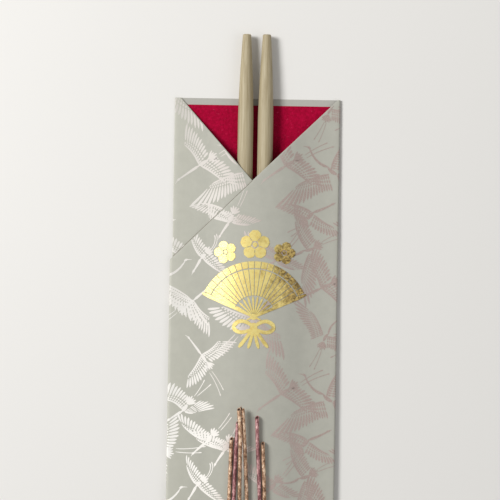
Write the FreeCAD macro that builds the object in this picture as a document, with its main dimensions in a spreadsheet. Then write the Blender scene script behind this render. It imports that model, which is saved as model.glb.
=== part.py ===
"""Celebration chopsticks: two round sticks in a folded paper sleeve, tied with three paper cords.

All sizes are in millimetres. Each piece is drawn in the sleeve's own frame: x across the sleeve
from its middle, y along it from its top edge (so the sleeve runs towards -y and the sticks stand
out towards +y) and z up from the underside of the back panel. One placement, `lying`, then puts
every piece into the row frame, where the sleeve lies on its back on the band of cords.
"""
import FreeCAD
import Part
import Sketcher
import math
import os
from FreeCAD import Placement, Rotation, Vector

# ------------------------------------------------------------------ driving sizes
SIZES = (
    # alias, value (or how it follows from others), meaning
    ("stick_length", 240.0, "whole length of a chopstick"),
    ("stick_dia", 7.0, "thickest diameter, over the middle"),
    ("stick_mid_dia", 5.8, "diameter halfway along a tapered end"),
    ("stick_tip_dia", 3.8, "diameter at both ends"),
    ("stick_taper", 37.0, "length of each tapered end"),
    ("stick_edge", 0.6, "bevel round each end"),
    ("stick_sides", 24, "narrow planed faces round a stick"),
    ("stick_pitch", 9.0, "distance between the two stick axes"),
    ("stick_off_mid", -0.65, "middle of the pair, from the middle of the sleeve"),
    ("stick_show", 29.0, "length of stick that stands out of the sleeve"),
    ("stick_air", 0.05, "gap between a stick and the lining under it"),
    ("sleeve_half", 36.8, "half the distance between the two side folds"),
    ("stick_room", 31.0, "room in the sleeve below the sticks"),
    ("sleeve_length", "=stick_length - stick_show + stick_room", "top edge to bottom fold"),
    ("paper", 0.25, "thickness of the patterned paper"),
    ("lining", 0.15, "thickness of the red lining"),
    ("lining_inset", 3.0, "white strip left above the lining"),
    ("lining_end", 13.0, "gap from the lining to the bottom fold"),
    ("lining_side", 0.6, "gap from the lining to each side fold"),
    ("ply_gap", 0.05, "gap between plies that only lie on each other"),
    ("lining_gap", 0.1, "gap between the lining and what lies over it"),
    ("tent_air", 0.75, "room over the thick part of the sticks"),
    ("mouth_apex_across", -2.15, "where the two slanted edges cross, across"),
    ("mouth_apex_down", 37.0, "where the two slanted edges cross, down"),
    ("mouth_corner", 2.0, "flat bit of top edge at the left corner"),
    ("under_flap_edge", 20.0, "free edge of the under flap, from the middle"),
    ("over_slant_deg", 44.3, "slope of the over flap's edge"),
    ("hem", 14.0, "width turned under along each slanted edge"),
    ("hem_side", 1.5, "gap from a hem to the side folds"),
    ("wrap_out", 0.7, "how far the over flap runs past the left fold before it turns"),
    ("tab_width", 12.0, "width glued to the back"),
    ("tab_slant", 13.0, "how far the tab's ends slope"),
    ("closed_end", 4.0, "flat length at the bottom, where all plies meet"),
    ("cord_dia", 1.8, "diameter of a cord"),
    ("cord_gap", 0.1, "gap between neighbouring cords"),
    ("cross_gap", 0.25, "gap between cords that cross"),
    ("cord_pitch", "=cord_dia + cord_gap", "distance between neighbouring cords"),
    ("cord_lift", "=cord_dia + cross_gap", "rise of a cord that lies over another"),
    ("cord_seat", 0.4, "gap between the knot and the paper"),
    ("band_seat", 0.1, "gap between the band and the sleeve's edges and back"),
    ("knot_across", -2.25, "middle of the knot, across"),
    ("knot_up", 35.0, "middle of the knot, above the bottom fold"),
    ("band_down", 26.6, "middle cord of the band, below the middle of the knot"),
)

doc = FreeCAD.newDocument("celebration_chopsticks")
sheet = doc.addObject("Spreadsheet::Sheet", "sizes")
for row, (alias, value, meaning) in enumerate(SIZES, 1):
    sheet.set(f"A{row}", alias)
    sheet.set(f"B{row}", str(value))
    sheet.setAlias(f"B{row}", alias)
    sheet.set(f"C{row}", meaning)
doc.recompute()


def size(alias):
    """A driving size, read from the sheet."""
    return float(sheet.get(alias))


# ------------------------------------------------------------------ heights of the plies
PAPER = size("paper")
HALF = size("sleeve_half")
LINING_TOP = PAPER + size("lining")
UNDER_FLAP = LINING_TOP + size("lining_gap") + PAPER  # its own hem lies below it
OVER_FLAP = UNDER_FLAP + 2 * PAPER + size("ply_gap")  # its hem lies between the two flaps
FRONT = OVER_FLAP + PAPER
STICK_AXIS = LINING_TOP + size("stick_air") + size("stick_dia") / 2
STICK_TOP = STICK_AXIS + size("stick_dia") / 2
RISE = STICK_TOP + size("tent_air") - UNDER_FLAP
STICK_END = size("stick_length") - size("stick_show")
TAPER_START = STICK_END - size("stick_taper")

# folds: each is a half tube that joins the ply above it to the ply below it
UNDER_FOLD_IN = (UNDER_FLAP - PAPER) / 2
OVER_FOLD_IN = (OVER_FLAP - PAPER) / 2
WRAP_FOLD_IN = OVER_FLAP / 2
LEFT_SIDE = -HALF - size("wrap_out") - WRAP_FOLD_IN - PAPER
RIGHT_SIDE = HALF + OVER_FOLD_IN + PAPER
BOTTOM = size("sleeve_length") - WRAP_FOLD_IN - PAPER  # where the bottom fold starts
CLOSED = BOTTOM - size("closed_end")

# ------------------------------------------------------------------ the tented front
# The front plies rise from the side folds over the sticks in an S on each flank, and come down
# to the flat closed end below them: (place, share of the full rise).
BELOW_STICKS = CLOSED - STICK_END
STATIONS = (
    (0.0, 1.0),
    (TAPER_START + 2.0, 1.0),
    (TAPER_START + 0.65 * size("stick_taper"), 0.905),
    (STICK_END, 0.81),
    (STICK_END + 0.35 * BELOW_STICKS, 0.62),
    (STICK_END + 0.70 * BELOW_STICKS, 0.30),
    (CLOSED, 0.0),
    (BOTTOM, 0.0),
)


def rise_at(down):
    """Rise of the under flap's middle over its sides, `down` from the top edge."""
    for (a, low), (b, high) in zip(STATIONS, STATIONS[1:]):
        if down <= b:
            return RISE * (low + (high - low) * max(0.0, (down - a) / (b - a)))
    return 0.0


def flank(rise):
    """Radius of the two arcs of a flank, and the sine of the slope where they meet."""
    radius = (HALF**2 + rise**2) / (4 * rise)
    return radius, HALF / (2 * radius)


def front_height(across, down, ply=FRONT):
    """Height of the upper side of the front at a place on it."""
    rise, over = rise_at(down), ply - UNDER_FLAP
    if rise < 0.01:
        return ply
    radius, slope = flank(rise)
    across = min(abs(across), HALF)
    if across > (radius + over) * slope:
        return UNDER_FLAP + radius - math.sqrt((radius - over) ** 2 - (HALF - across) ** 2)
    return UNDER_FLAP + rise - radius + math.sqrt((radius + over) ** 2 - across**2)


def curve_edges(down, over):
    """The three edges of the tented line `over` the under flap's underside, left to right."""
    rise, y = rise_at(down), -down
    if rise < 0.01:
        ends = (-HALF, -HALF / 2, HALF / 2, HALF)
        knots = [Vector(x, y, UNDER_FLAP + over) for x in ends]
        return [Part.makeLine(a, b) for a, b in zip(knots, knots[1:])]
    radius, slope = flank(rise)
    turn = math.asin(slope)
    low, high = radius - over, radius + over
    meet = Vector(high * math.sin(turn), y, UNDER_FLAP + rise - radius + high * math.cos(turn))
    bend = Vector(
        HALF - low * math.sin(turn / 2), y, UNDER_FLAP + radius - low * math.cos(turn / 2)
    )
    side = Vector(HALF, y, UNDER_FLAP + over)
    top = Vector(0, y, UNDER_FLAP + rise + over)

    def mirrored(p):
        return Vector(-p.x, p.y, p.z)

    return [
        Part.Arc(mirrored(side), mirrored(bend), mirrored(meet)).toShape(),
        Part.Arc(mirrored(meet), top, meet).toShape(),
        Part.Arc(meet, bend, side).toShape(),
    ]


def tented_ply(low, high):
    """A ply of the front over its whole width and length, between two heights at its sides."""
    sections = []
    for down, _ in STATIONS:
        under = curve_edges(down, low - UNDER_FLAP)
        over = curve_edges(down, high - UNDER_FLAP)
        ends = [
            Part.makeLine(Vector(side * HALF, -down, low), Vector(side * HALF, -down, high))
            for side in (-1, 1)
        ]
        sections.append(Part.Wire(Part.__sortEdges__(under + over + ends)))
    return Part.makeLoft(sections, True, True)


def slab(outline, low, high):
    """A flat plate: an outline of (across, down) corners between two heights."""
    corners = [Vector(x, -d, low) for x, d in outline]
    face = Part.Face(Part.makePolygon(corners + corners[:1]))
    return face.extrude(Vector(0, 0, high - low))


def trimmed(ply, outline):
    """The part of a tented ply that lies within an outline of (across, down) corners."""
    return ply.common(slab(outline, -5, 30))


# ------------------------------------------------------------------ outlines of the flaps
UNDER_SLOPE = size("mouth_apex_down") / (size("mouth_apex_across") + HALF - size("mouth_corner"))
OVER_SLOPE = math.tan(math.radians(size("over_slant_deg")))


def under_edge(across):
    """How far down the under flap's slanted edge is."""
    return (across + HALF - size("mouth_corner")) * UNDER_SLOPE


def over_edge(across):
    """How far down the over flap's slanted edge is."""
    return (HALF - across) * OVER_SLOPE


def under_outline():
    """The left flap: its slanted edge runs down to its free edge, under the right flap."""
    start, edge = -HALF + size("mouth_corner"), size("under_flap_edge")
    return [(-HALF, 0), (start, 0), (edge, under_edge(edge)), (edge, BOTTOM), (-HALF, BOTTOM)]


def over_outline():
    """The right flap: its slanted edge runs from the top corner to the left side."""
    return [(HALF, 0), (HALF, BOTTOM), (-HALF, BOTTOM), (-HALF, over_edge(-HALF))]


def hem_outline(edge, slope, left, right):
    """The strip turned under along a slanted edge."""
    deep = size("hem") * math.hypot(1, slope)
    return [(left, edge(left)), (right, edge(right)), (right, edge(right) + deep),
            (left, edge(left) + deep)]


# ------------------------------------------------------------------ makers
LEFT = Rotation(Vector(0, 0, 1), Vector(-1, 0, 0), Vector(0, -1, 0), "XYZ")
RIGHT = Rotation(Vector(0, 0, -1), Vector(1, 0, 0), Vector(0, -1, 0), "XYZ")
DOWN = Rotation(Vector(0, 0, 1), Vector(0, -1, 0), Vector(1, 0, 0), "XYZ")


def feature(name, shape):
    """A document object that holds a shape made by Part's own functions."""
    made = doc.addObject("Part::Feature", name)
    made.Shape = shape
    return made


def fold(name, inner, length, corner, way):
    """Half a tube of paper that joins two plies: `way` turns it to bulge left, right or down."""
    halves = []
    for skin, radius in (("outer", f"({inner}) / 2 + sizes.paper"), ("inner", f"({inner}) / 2")):
        half = doc.addObject("Part::Cylinder", f"{name}_{skin}")
        half.setExpression("Radius", radius)
        half.Height = length
        half.Angle = 180
        half.Placement = Placement(corner, way)
        halves.append(half)
    made = doc.addObject("Part::Cut", name)
    made.Base, made.Tool = halves
    return made


def drawn(body, name, corners):
    """A closed sketch of straight lines on the body's XY plane, each corner bound to the sheet.

    A coordinate is an expression, or None where the corner lies on that axis.
    """
    sketch = body.newObject("Sketcher::SketchObject", name)
    plane = next(f for f in body.Origin.OriginFeatures if f.Role == "XY_Plane")
    sketch.AttachmentSupport = [(plane, "")]
    sketch.MapMode = "FlatFace"
    places = []
    for pair in corners:
        worked = [0.0 if e is None else float(sketch.evalExpression(e)) for e in pair]
        places.append(Vector(worked[0], worked[1], 0))
    for i, place in enumerate(places):
        sketch.addGeometry(Part.LineSegment(place, places[(i + 1) % len(places)]), False)
    for i in range(len(places)):
        sketch.addConstraint(Sketcher.Constraint("Coincident", i, 2, (i + 1) % len(places), 1))
    for i, (across, along) in enumerate(corners):
        for kind, axis, told, value in (
            ("DistanceX", -2, across, places[i].x),
            ("DistanceY", -1, along, places[i].y),
        ):
            if told is None:
                sketch.addConstraint(Sketcher.Constraint("PointOnObject", i, 1, axis))
                continue
            made = sketch.addConstraint(Sketcher.Constraint(kind, -1, 1, i, 1, value))
            sketch.setExpression(f"Constraints[{made}]", told)
    return sketch


# ------------------------------------------------------------------ the chopsticks
def build_stick(name, across):
    """A round stick planed in narrow faces: an even middle, two curved tapers and two bevels."""
    long, taper, edge = "sizes.stick_length", "sizes.stick_taper", "sizes.stick_edge"
    full, tip = "sizes.stick_dia / 2", "sizes.stick_tip_dia / 2"
    near = [
        ("0", f"{tip} - {edge}"),
        (edge, tip),
        (f"({edge} + {taper}) / 2", "sizes.stick_mid_dia / 2"),
        (taper, full),
    ]
    far = [(f"{long} - ({along})", radius) for along, radius in reversed(near)]
    rings = []
    for i, (along, radius) in enumerate(near + far):
        ring = doc.addObject("Part::RegularPolygon", f"{name}_ring_{i}")
        ring.Placement = Placement(Vector(), Rotation(Vector(1, 0, 0), 90))
        ring.setExpression("Polygon", "sizes.stick_sides")
        ring.setExpression("Circumradius", radius)
        ring.setExpression("Placement.Base.y", along)
        rings.append(ring)
    made = doc.addObject("Part::Loft", name)
    made.Sections, made.Solid, made.Ruled = rings, True, True
    made.Placement = Placement(Vector(across, -STICK_END, STICK_AXIS), Rotation())
    return made


# ------------------------------------------------------------------ the lining
def build_lining():
    """The red sheet that lies on the back panel's inside."""
    body = doc.addObject("PartDesign::Body", "red_lining")
    wide = "2 * (sizes.sleeve_half - sizes.lining_side)"
    long = "sizes.sleeve_length - sizes.lining_inset - sizes.lining_end"
    sketch = drawn(body, "lining_outline", (
        (None, None), (wide, None), (wide, long), (None, long),
    ))
    pad = body.newObject("PartDesign::Pad", "lining_sheet")
    pad.Profile = sketch
    pad.setExpression("Length", "sizes.lining")
    place = Vector(size("lining_side") - HALF, size("lining_end") - size("sleeve_length"), PAPER)
    body.Placement = Placement(place, Rotation())
    return body


# ------------------------------------------------------------------ the sleeve
def build_sleeve():
    """The patterned sheet: back, two flaps with turned hems, side folds, wrap and glued tabs."""
    back = doc.addObject("Part::Box", "back_panel")
    back.setExpression("Length", "2 * sizes.sleeve_half")
    back.Width = BOTTOM
    back.setExpression("Height", "sizes.paper")
    back.Placement = Placement(Vector(-HALF, -BOTTOM, 0), Rotation())

    under = trimmed(tented_ply(UNDER_FLAP, UNDER_FLAP + PAPER), under_outline())
    over = trimmed(tented_ply(OVER_FLAP, FRONT), over_outline())
    sink = PAPER / 2  # a hem grows out of its flap
    side = HALF - size("hem_side")
    under_hem = trimmed(
        tented_ply(UNDER_FLAP - PAPER, UNDER_FLAP + sink),
        hem_outline(under_edge, UNDER_SLOPE, size("mouth_corner") - HALF,
                    size("under_flap_edge")),
    )
    over_hem = trimmed(
        tented_ply(OVER_FLAP - PAPER, OVER_FLAP + sink),
        hem_outline(over_edge, OVER_SLOPE, -side, side),
    )

    # what each fold goes round, from the ply below to the ply above
    inside_under = "sizes.lining + sizes.lining_gap + sizes.paper"
    inside_over = f"{inside_under} + 2 * sizes.paper + sizes.ply_gap"
    inside_wrap = f"{inside_over} + sizes.paper"
    turn, wrap = -HALF - size("wrap_out"), over_edge(LEFT_SIDE)
    end = HALF - 1.0
    folds = (
        fold("under_fold", inside_under, BOTTOM, Vector(-HALF, 0, PAPER + UNDER_FOLD_IN), LEFT),
        fold("over_fold", inside_over, BOTTOM, Vector(HALF, 0, PAPER + OVER_FOLD_IN), RIGHT),
        fold("wrap_fold", inside_wrap, BOTTOM - wrap, Vector(turn, -wrap, WRAP_FOLD_IN), LEFT),
        fold("bottom_fold", inside_wrap, 2 * end, Vector(-end, -BOTTOM, WRAP_FOLD_IN), DOWN),
    )
    tab, slant = size("tab_width"), size("tab_slant")
    plates = (
        ("wrap_ply", slab([(-HALF, over_edge(-HALF)), (turn, over_edge(turn)), (turn, BOTTOM),
                           (-HALF, BOTTOM)], OVER_FLAP, FRONT)),
        ("side_tab", slab([(turn, wrap), (tab - HALF, wrap + slant),
                           (tab - HALF, BOTTOM - slant - 2), (turn, BOTTOM)], -PAPER, 0)),
        ("bottom_tab", slab([(-end, BOTTOM), (slant - end, BOTTOM - tab),
                             (end - slant, BOTTOM - tab), (end, BOTTOM)], -PAPER, 0)),
    )
    flaps = (("under_flap", under), ("under_hem", under_hem), ("over_flap", over),
             ("over_hem", over_hem))
    made = doc.addObject("Part::MultiFuse", "sleeve")
    made.Shapes = [back, *folds, *(feature(n, shape) for n, shape in flaps + plates)]
    made.Refine = True
    return made


# ------------------------------------------------------------------ the cords
# One half of the flat knot, from the foot of the left tail to the band on the right: across and
# up from the knot's middle, and the layer, 0 on the paper and 1 over another run. The other half
# is its mirror image with the layers changed about. The middle cord follows these points and the
# other two run beside it.
KNOT_HALF = (
    (-10.5, 16.2, 1.0),
    (-11.8, 6.8, 1.0),
    (-10.8, 2.6, 0.0),
    (-5.6, -2.6, 0.0),
    (-2.6, -5.6, 1.0),
    (2.6, -10.8, 1.0),
    (6.2, -11.9, 0.0),
    (15.4, -10.6, 0.0),
    (19.4, -6.8, 0.3),
    (20.8, 0.0, 0.5),
    (19.4, 6.8, 0.7),
    (16.3, 10.5, 1.1),
    (6.4, 11.9, 1.0),
    (2.6, 10.8, 0.0),
    (-2.6, 5.6, 0.0),
    (-5.6, 2.6, 1.0),
    (-10.8, -2.6, 1.0),
    (-11.8, -7.0, 0.0),
    (-10.5, -16.3, 0.0),
    (-3.6, -19.2, 1.0),
    (4.3, -25.3, 1.1),
    (14.5, -26.4, 0.0),
)
# The free ends, from the tip of the left tail down and from the knot up to the tip of the right
# tail: across and up from the knot's middle, and height over the seat.
TAILS = {
    "cord_gold_long": (
        1,
        ((-3.8, 66.8, 3.6), (-2.75, 56.5, 3.4), (-2.9, 41.0, 2.9), (-2.8, 27.0, 2.2)),
        ((0.4, 27.0, 0.3), (-0.35, 41.5, 1.1), (-1.25, 56.5, 2.1), (-2.0, 66.6, 2.6)),
    ),
    "cord_red": (
        0,
        ((-4.15, 60.8, 0.3), (-4.75, 50.5, 0.2), (-5.1, 38.5, 0.5), (-5.35, 27.0, 1.4)),
        ((6.2, 27.0, 0.1), (5.6, 38.5, 0.2), (4.8, 52.0, 0.2), (4.4, 63.2, 0.4)),
    ),
    "cord_gold_short": (
        -1,
        ((-6.9, 53.4, 0.4), (-7.2, 41.0, 0.1), (-7.5, 27.0, 0.5)),
        ((8.3, 27.0, 0.1), (7.85, 40.0, 0.1), (7.2, 51.6, 0.4)),
    ),
}
CORD = size("cord_dia") / 2
MIDDLE, ACROSS = size("sleeve_length") - size("knot_up"), size("knot_across")
SHARE = 0.45  # of the shorter run, taken by an arc on each side


def beside(points, offset):
    """The same run of points, moved sideways in plan by an offset to its left."""
    plan = [Vector(x, y, 0) for x, y, _ in points]
    ways = [(b - a).normalize() for a, b in zip(plan, plan[1:])]
    lefts = [Vector(-w.y, w.x, 0) for w in ways]
    moved = []
    for i, (place, (_, _, layer)) in enumerate(zip(plan, points)):
        before, after = lefts[max(i - 1, 0)], lefts[min(i, len(lefts) - 1)]
        step = (before + after) * (offset / (1 + before.dot(after)))
        moved.append((place.x + step.x, place.y + step.y, layer))
    return moved


def seated(across, down, seat, lift):
    """A point of a cord's axis that lies over the front."""
    return Vector(across, -down, front_height(across, down) + seat + CORD + lift)


def cord_route(side, left_tail, right_tail):
    """Every point of one cord, from the tip of its left tail round the sleeve to its right."""
    seat, band = size("cord_seat"), size("band_seat")
    half = beside(KNOT_HALF, side * size("cord_pitch"))
    left = [(x, y, layer) for x, y, layer in half]
    right = [(-x, y, max(0.0, 1.0 - layer)) for x, y, layer in reversed(half)]
    right[0] = (right[0][0], right[0][1], 0.0)  # both halves end on the band
    down = MIDDLE + size("band_down") - side * size("cord_pitch")
    over, under = FRONT + band + CORD, -PAPER - band - CORD
    right_edge, left_edge = RIGHT_SIDE + band + CORD, LEFT_SIDE - band - CORD

    def knot(points):
        return [seated(ACROSS + x, MIDDLE - y, seat, layer * size("cord_lift"))
                for x, y, layer in points]

    def tail(points):
        return [seated(ACROSS + x, MIDDLE - y, seat, lift) for x, y, lift in points]

    return (
        tail(left_tail)
        + knot(left)
        + [seated(26.0, down, seat, 0), Vector(right_edge, -down, over)]
        + [Vector(right_edge, -down, under), Vector(left_edge, -down, under)]
        + [Vector(left_edge, -down, over), seated(-30.0, down, seat, 0)]
        + knot(right)
        + tail(right_tail)
    )


def tube(name, points):
    """A cord along straight runs joined by tangent arcs; prints its radii and volume.

    Its section has five flat sides inside the cord's round, so that some sixty bends stay light.
    """
    edges, radii, start = [], [], points[0]
    for before, corner, after in zip(points, points[1:], points[2:]):
        back, ahead = before - corner, after - corner
        reach = SHARE * min(back.Length, ahead.Length)
        back, ahead = back.normalize(), ahead.normalize()
        half_turn = (math.pi - back.getAngle(ahead)) / 2
        radius = reach / math.tan(half_turn)
        inward = (back + ahead).normalize() * (radius / math.cos(half_turn) - radius)
        first, last = corner + back * reach, corner + ahead * reach
        edges += [Part.LineSegment(start, first).toShape(),
                  Part.Arc(first, corner + inward, last).toShape()]
        radii.append(radius)
        start = last
    edges.append(Part.LineSegment(start, points[-1]).toShape())
    path = Part.Wire(edges)
    corners = [math.radians(72 * i) for i in range(6)]
    rim = Part.makePolygon([Vector(CORD * math.cos(a), CORD * math.sin(a), 0) for a in corners])
    rim.Placement = Placement(points[0], Rotation(Vector(0, 0, 1), points[1] - points[0]))
    solid = path.makePipeShell([rim], True, False)
    ratio = solid.Volume / (Part.Face(rim).Area * path.Length)
    print(f"{name}: length {path.Length:.1f}, least radii",
          [round(r, 1) for r in sorted(radii)[:6]], f"volume / (section x length) {ratio:.4f}")
    return feature(name, solid)


# ------------------------------------------------------------------ how it lies
def lying():
    """Tips the sleeve until its top edge and the band under its bottom end share the floor.

    It also brings the middle of the whole object's box to x = 0, y = 0.
    """
    band = MIDDLE + size("band_down") - size("cord_pitch")
    drop = PAPER + size("band_seat") + CORD
    tip = math.atan2(drop, band) + math.asin(CORD / math.hypot(band, drop))
    middle = (max(0.0, size("stick_show")) - size("sleeve_length")) / 2
    place = Vector(-(LEFT_SIDE + RIGHT_SIDE) / 2, -middle, 0)
    return Placement(place, Rotation(Vector(1, 0, 0), -math.degrees(tip)))


pair = size("stick_off_mid")
pieces = [
    build_sleeve(),
    build_lining(),
    build_stick("chopstick_left", pair - size("stick_pitch") / 2),
    build_stick("chopstick_right", pair + size("stick_pitch") / 2),
    *(tube(name, cord_route(*told)) for name, told in TAILS.items()),
]
floor = lying()
for piece in pieces:
    piece.Label = piece.Name
    piece.Placement = floor * piece.Placement
doc.recompute()

for thing in doc.Objects:
    if "Invalid" in thing.State or "Error" in thing.State:
        raise SystemExit(f"{thing.Name} failed: {thing.State}")
for piece in pieces:
    if piece.Shape.isNull() or not piece.Shape.isValid() or len(piece.Shape.Solids) != 1:
        raise SystemExit(f"{piece.Label} isn't one valid solid")
os.makedirs("parts", exist_ok=True)
for piece in pieces:
    piece.Shape.exportStep(f"parts/{piece.Label}.step")
    print(f"{piece.Label}: {piece.Shape.Volume:.0f} mm3, {len(piece.Shape.Faces)} faces")
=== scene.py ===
"""Celebration chopsticks in a folded crane-print sleeve, tied with three paper cords.

Every piece is modelled in millimetres in the sleeve's own frame: x across the sleeve from its
middle, y along it from its top edge (the sleeve runs towards -y), z up from the underside of the
back panel. `Lie.settle` then puts the piece's mesh into the row frame, in metres.
"""

import logging
import math
from dataclasses import dataclass, field
from enum import Enum
from functools import cached_property
from itertools import product
from typing import Callable, Iterable, Sequence

import bmesh
import bpy
from mathutils import Matrix, Vector, noise


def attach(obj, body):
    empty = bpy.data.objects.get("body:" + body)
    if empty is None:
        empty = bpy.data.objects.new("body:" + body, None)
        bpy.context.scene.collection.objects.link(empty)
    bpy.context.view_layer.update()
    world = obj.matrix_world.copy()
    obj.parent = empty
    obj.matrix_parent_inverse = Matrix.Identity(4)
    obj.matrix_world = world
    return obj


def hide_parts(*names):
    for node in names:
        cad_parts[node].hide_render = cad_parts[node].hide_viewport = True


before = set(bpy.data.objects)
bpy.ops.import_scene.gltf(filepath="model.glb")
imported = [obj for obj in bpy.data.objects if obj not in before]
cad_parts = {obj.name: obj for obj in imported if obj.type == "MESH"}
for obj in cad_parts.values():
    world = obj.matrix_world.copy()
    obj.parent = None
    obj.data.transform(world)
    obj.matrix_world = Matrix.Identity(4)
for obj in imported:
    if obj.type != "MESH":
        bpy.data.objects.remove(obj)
log = logging.getLogger("celebration_chopsticks")

Rgb = tuple[float, float, float]
Spot = tuple[float, float]
Spot3 = tuple[float, float, float]
CLEAR = 1e-5  # millimetres within which two places are one


# ------------------------------------------------------------------ small tools
def srgb(red: int, green: int, blue: int) -> Rgb:
    """A colour as linear light.

    Args:
        red: how much red it shows, 0 to 255.
        green: how much green.
        blue: how much blue.

    Returns:
        The colour that the shaders take.
    """

    def line(value: int) -> float:
        """One part of the colour."""
        share = value / 255
        return share / 12.92 if share <= 0.04045 else ((share + 0.055) / 1.055) ** 2.4

    return line(red), line(green), line(blue)


def shade(colour: Rgb, by: float) -> Rgb:
    """A colour made darker or lighter."""
    return tuple(by * part for part in colour)


def deselect() -> None:
    """Leaves nothing selected."""
    for thing in bpy.context.selected_objects:
        thing.select_set(False)


def work_on(piece: bpy.types.Object) -> None:
    """Makes a piece the only selected and the active one.

    Args:
        piece: the object.
    """
    deselect()
    piece.select_set(True)
    bpy.context.view_layer.objects.active = piece


def edit(piece: bpy.types.Object) -> None:
    """Opens a piece in edit mode with nothing selected.

    Args:
        piece: the object.
    """
    work_on(piece)
    bpy.ops.object.mode_set(mode="EDIT")
    bpy.ops.mesh.select_mode(type="VERT")
    bpy.ops.mesh.select_all(action="DESELECT")


def leave() -> None:
    """Closes edit mode."""
    bpy.ops.object.mode_set(mode="OBJECT")


def pick_faces(piece: bpy.types.Object, wanted: Callable[[Vector], bool]) -> None:
    """Selects the faces whose middle is wanted, in edit mode.

    Args:
        piece: the object in edit mode.
        wanted: tells whether a face with this middle is picked.
    """
    bpy.ops.mesh.select_mode(type="FACE")
    bpy.ops.mesh.select_all(action="DESELECT")
    shape = bmesh.from_edit_mesh(piece.data)
    for face in [f for f in shape.faces if wanted(f.calc_center_median())]:
        face.select_set(True)
    bmesh.update_edit_mesh(piece.data)


def pick_rim(piece: bpy.types.Object, wanted: Callable[[Vector], bool]) -> None:
    """Selects the open edges whose two ends are both wanted, in edit mode.

    Args:
        piece: the object in edit mode.
        wanted: tells whether an edge may have an end there.
    """
    bpy.ops.mesh.select_mode(type="EDGE")
    bpy.ops.mesh.select_all(action="DESELECT")
    shape = bmesh.from_edit_mesh(piece.data)
    for edge in [e for e in shape.edges if e.is_boundary and all(wanted(v.co) for v in e.verts)]:
        edge.select_set(True)
    bmesh.update_edit_mesh(piece.data)


def paint_picked(piece: bpy.types.Object, slot: int) -> None:
    """Gives the picked faces another of the piece's materials, in edit mode.

    Args:
        piece: the object in edit mode.
        slot: which of its materials.
    """
    shape = bmesh.from_edit_mesh(piece.data)
    for face in shape.faces:
        if face.select:
            face.material_index = slot
    bmesh.update_edit_mesh(piece.data)


def cut(point: Sequence[float], normal: Sequence[float], drop: bool = False) -> None:
    """Cuts what is selected along a plane, in edit mode.

    Args:
        point: a point of the plane.
        normal: the plane's normal; with `drop`, what lies on its side goes.
        drop: whether that side is removed.
    """
    way = Vector(normal).normalized()
    bpy.ops.mesh.bisect(plane_co=point, plane_no=way, clear_outer=drop, threshold=CLEAR)


def grid(name: str, wide: float, long: float, columns: int, rows: int,
         middle: Sequence[float]) -> bpy.types.Object:
    """A flat grid of faces with its corners in place.

    Args:
        name: the new object's name.
        wide: size across.
        long: size along.
        columns: faces across.
        rows: faces along.
        middle: where its middle lies.

    Returns:
        The new object, at the origin.
    """
    deselect()
    bpy.ops.mesh.primitive_grid_add(x_subdivisions=columns, y_subdivisions=rows, size=1)
    piece = bpy.context.object
    piece.name = piece.data.name = name
    edit(piece)
    bpy.ops.mesh.select_all(action="SELECT")
    bpy.ops.transform.resize(value=(wide, long, 1), center_override=(0, 0, 0))
    bpy.ops.transform.translate(value=tuple(middle))
    leave()
    return piece


def finish_with(piece: bpy.types.Object, kind: str, **settings: object) -> None:
    """Adds a modifier to a piece and applies it.

    Args:
        piece: the object.
        kind: the modifier's type.
        settings: its values by name.
    """
    work_on(piece)
    made = piece.modifiers.new(kind.lower(), kind)
    for name, value in settings.items():
        setattr(made, name, value)
    bpy.ops.object.modifier_apply(modifier=made.name)


def copied(piece: bpy.types.Object) -> bpy.types.Object:
    """Copies a piece.

    Args:
        piece: the object.

    Returns:
        The copy, with its own mesh.
    """
    made = piece.copy()
    made.data = piece.data.copy()
    bpy.context.collection.objects.link(made)
    return made


def joined(name: str, pieces: Sequence[bpy.types.Object]) -> bpy.types.Object:
    """Joins objects into one.

    Args:
        name: the name of the result.
        pieces: the objects; the first one stays.

    Returns:
        The joined object.
    """
    deselect()
    for piece in pieces:
        piece.select_set(True)
    bpy.context.view_layer.objects.active = pieces[0]
    if len(pieces) > 1:
        bpy.ops.object.join()
    pieces[0].name = pieces[0].data.name = name
    return pieces[0]


def smooth(piece: bpy.types.Object, degrees: float = 40) -> None:
    """Shades a piece smooth, with edges sharper than an angle left crisp."""
    work_on(piece)
    bpy.ops.object.shade_smooth_by_angle(angle=math.radians(degrees))


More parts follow.
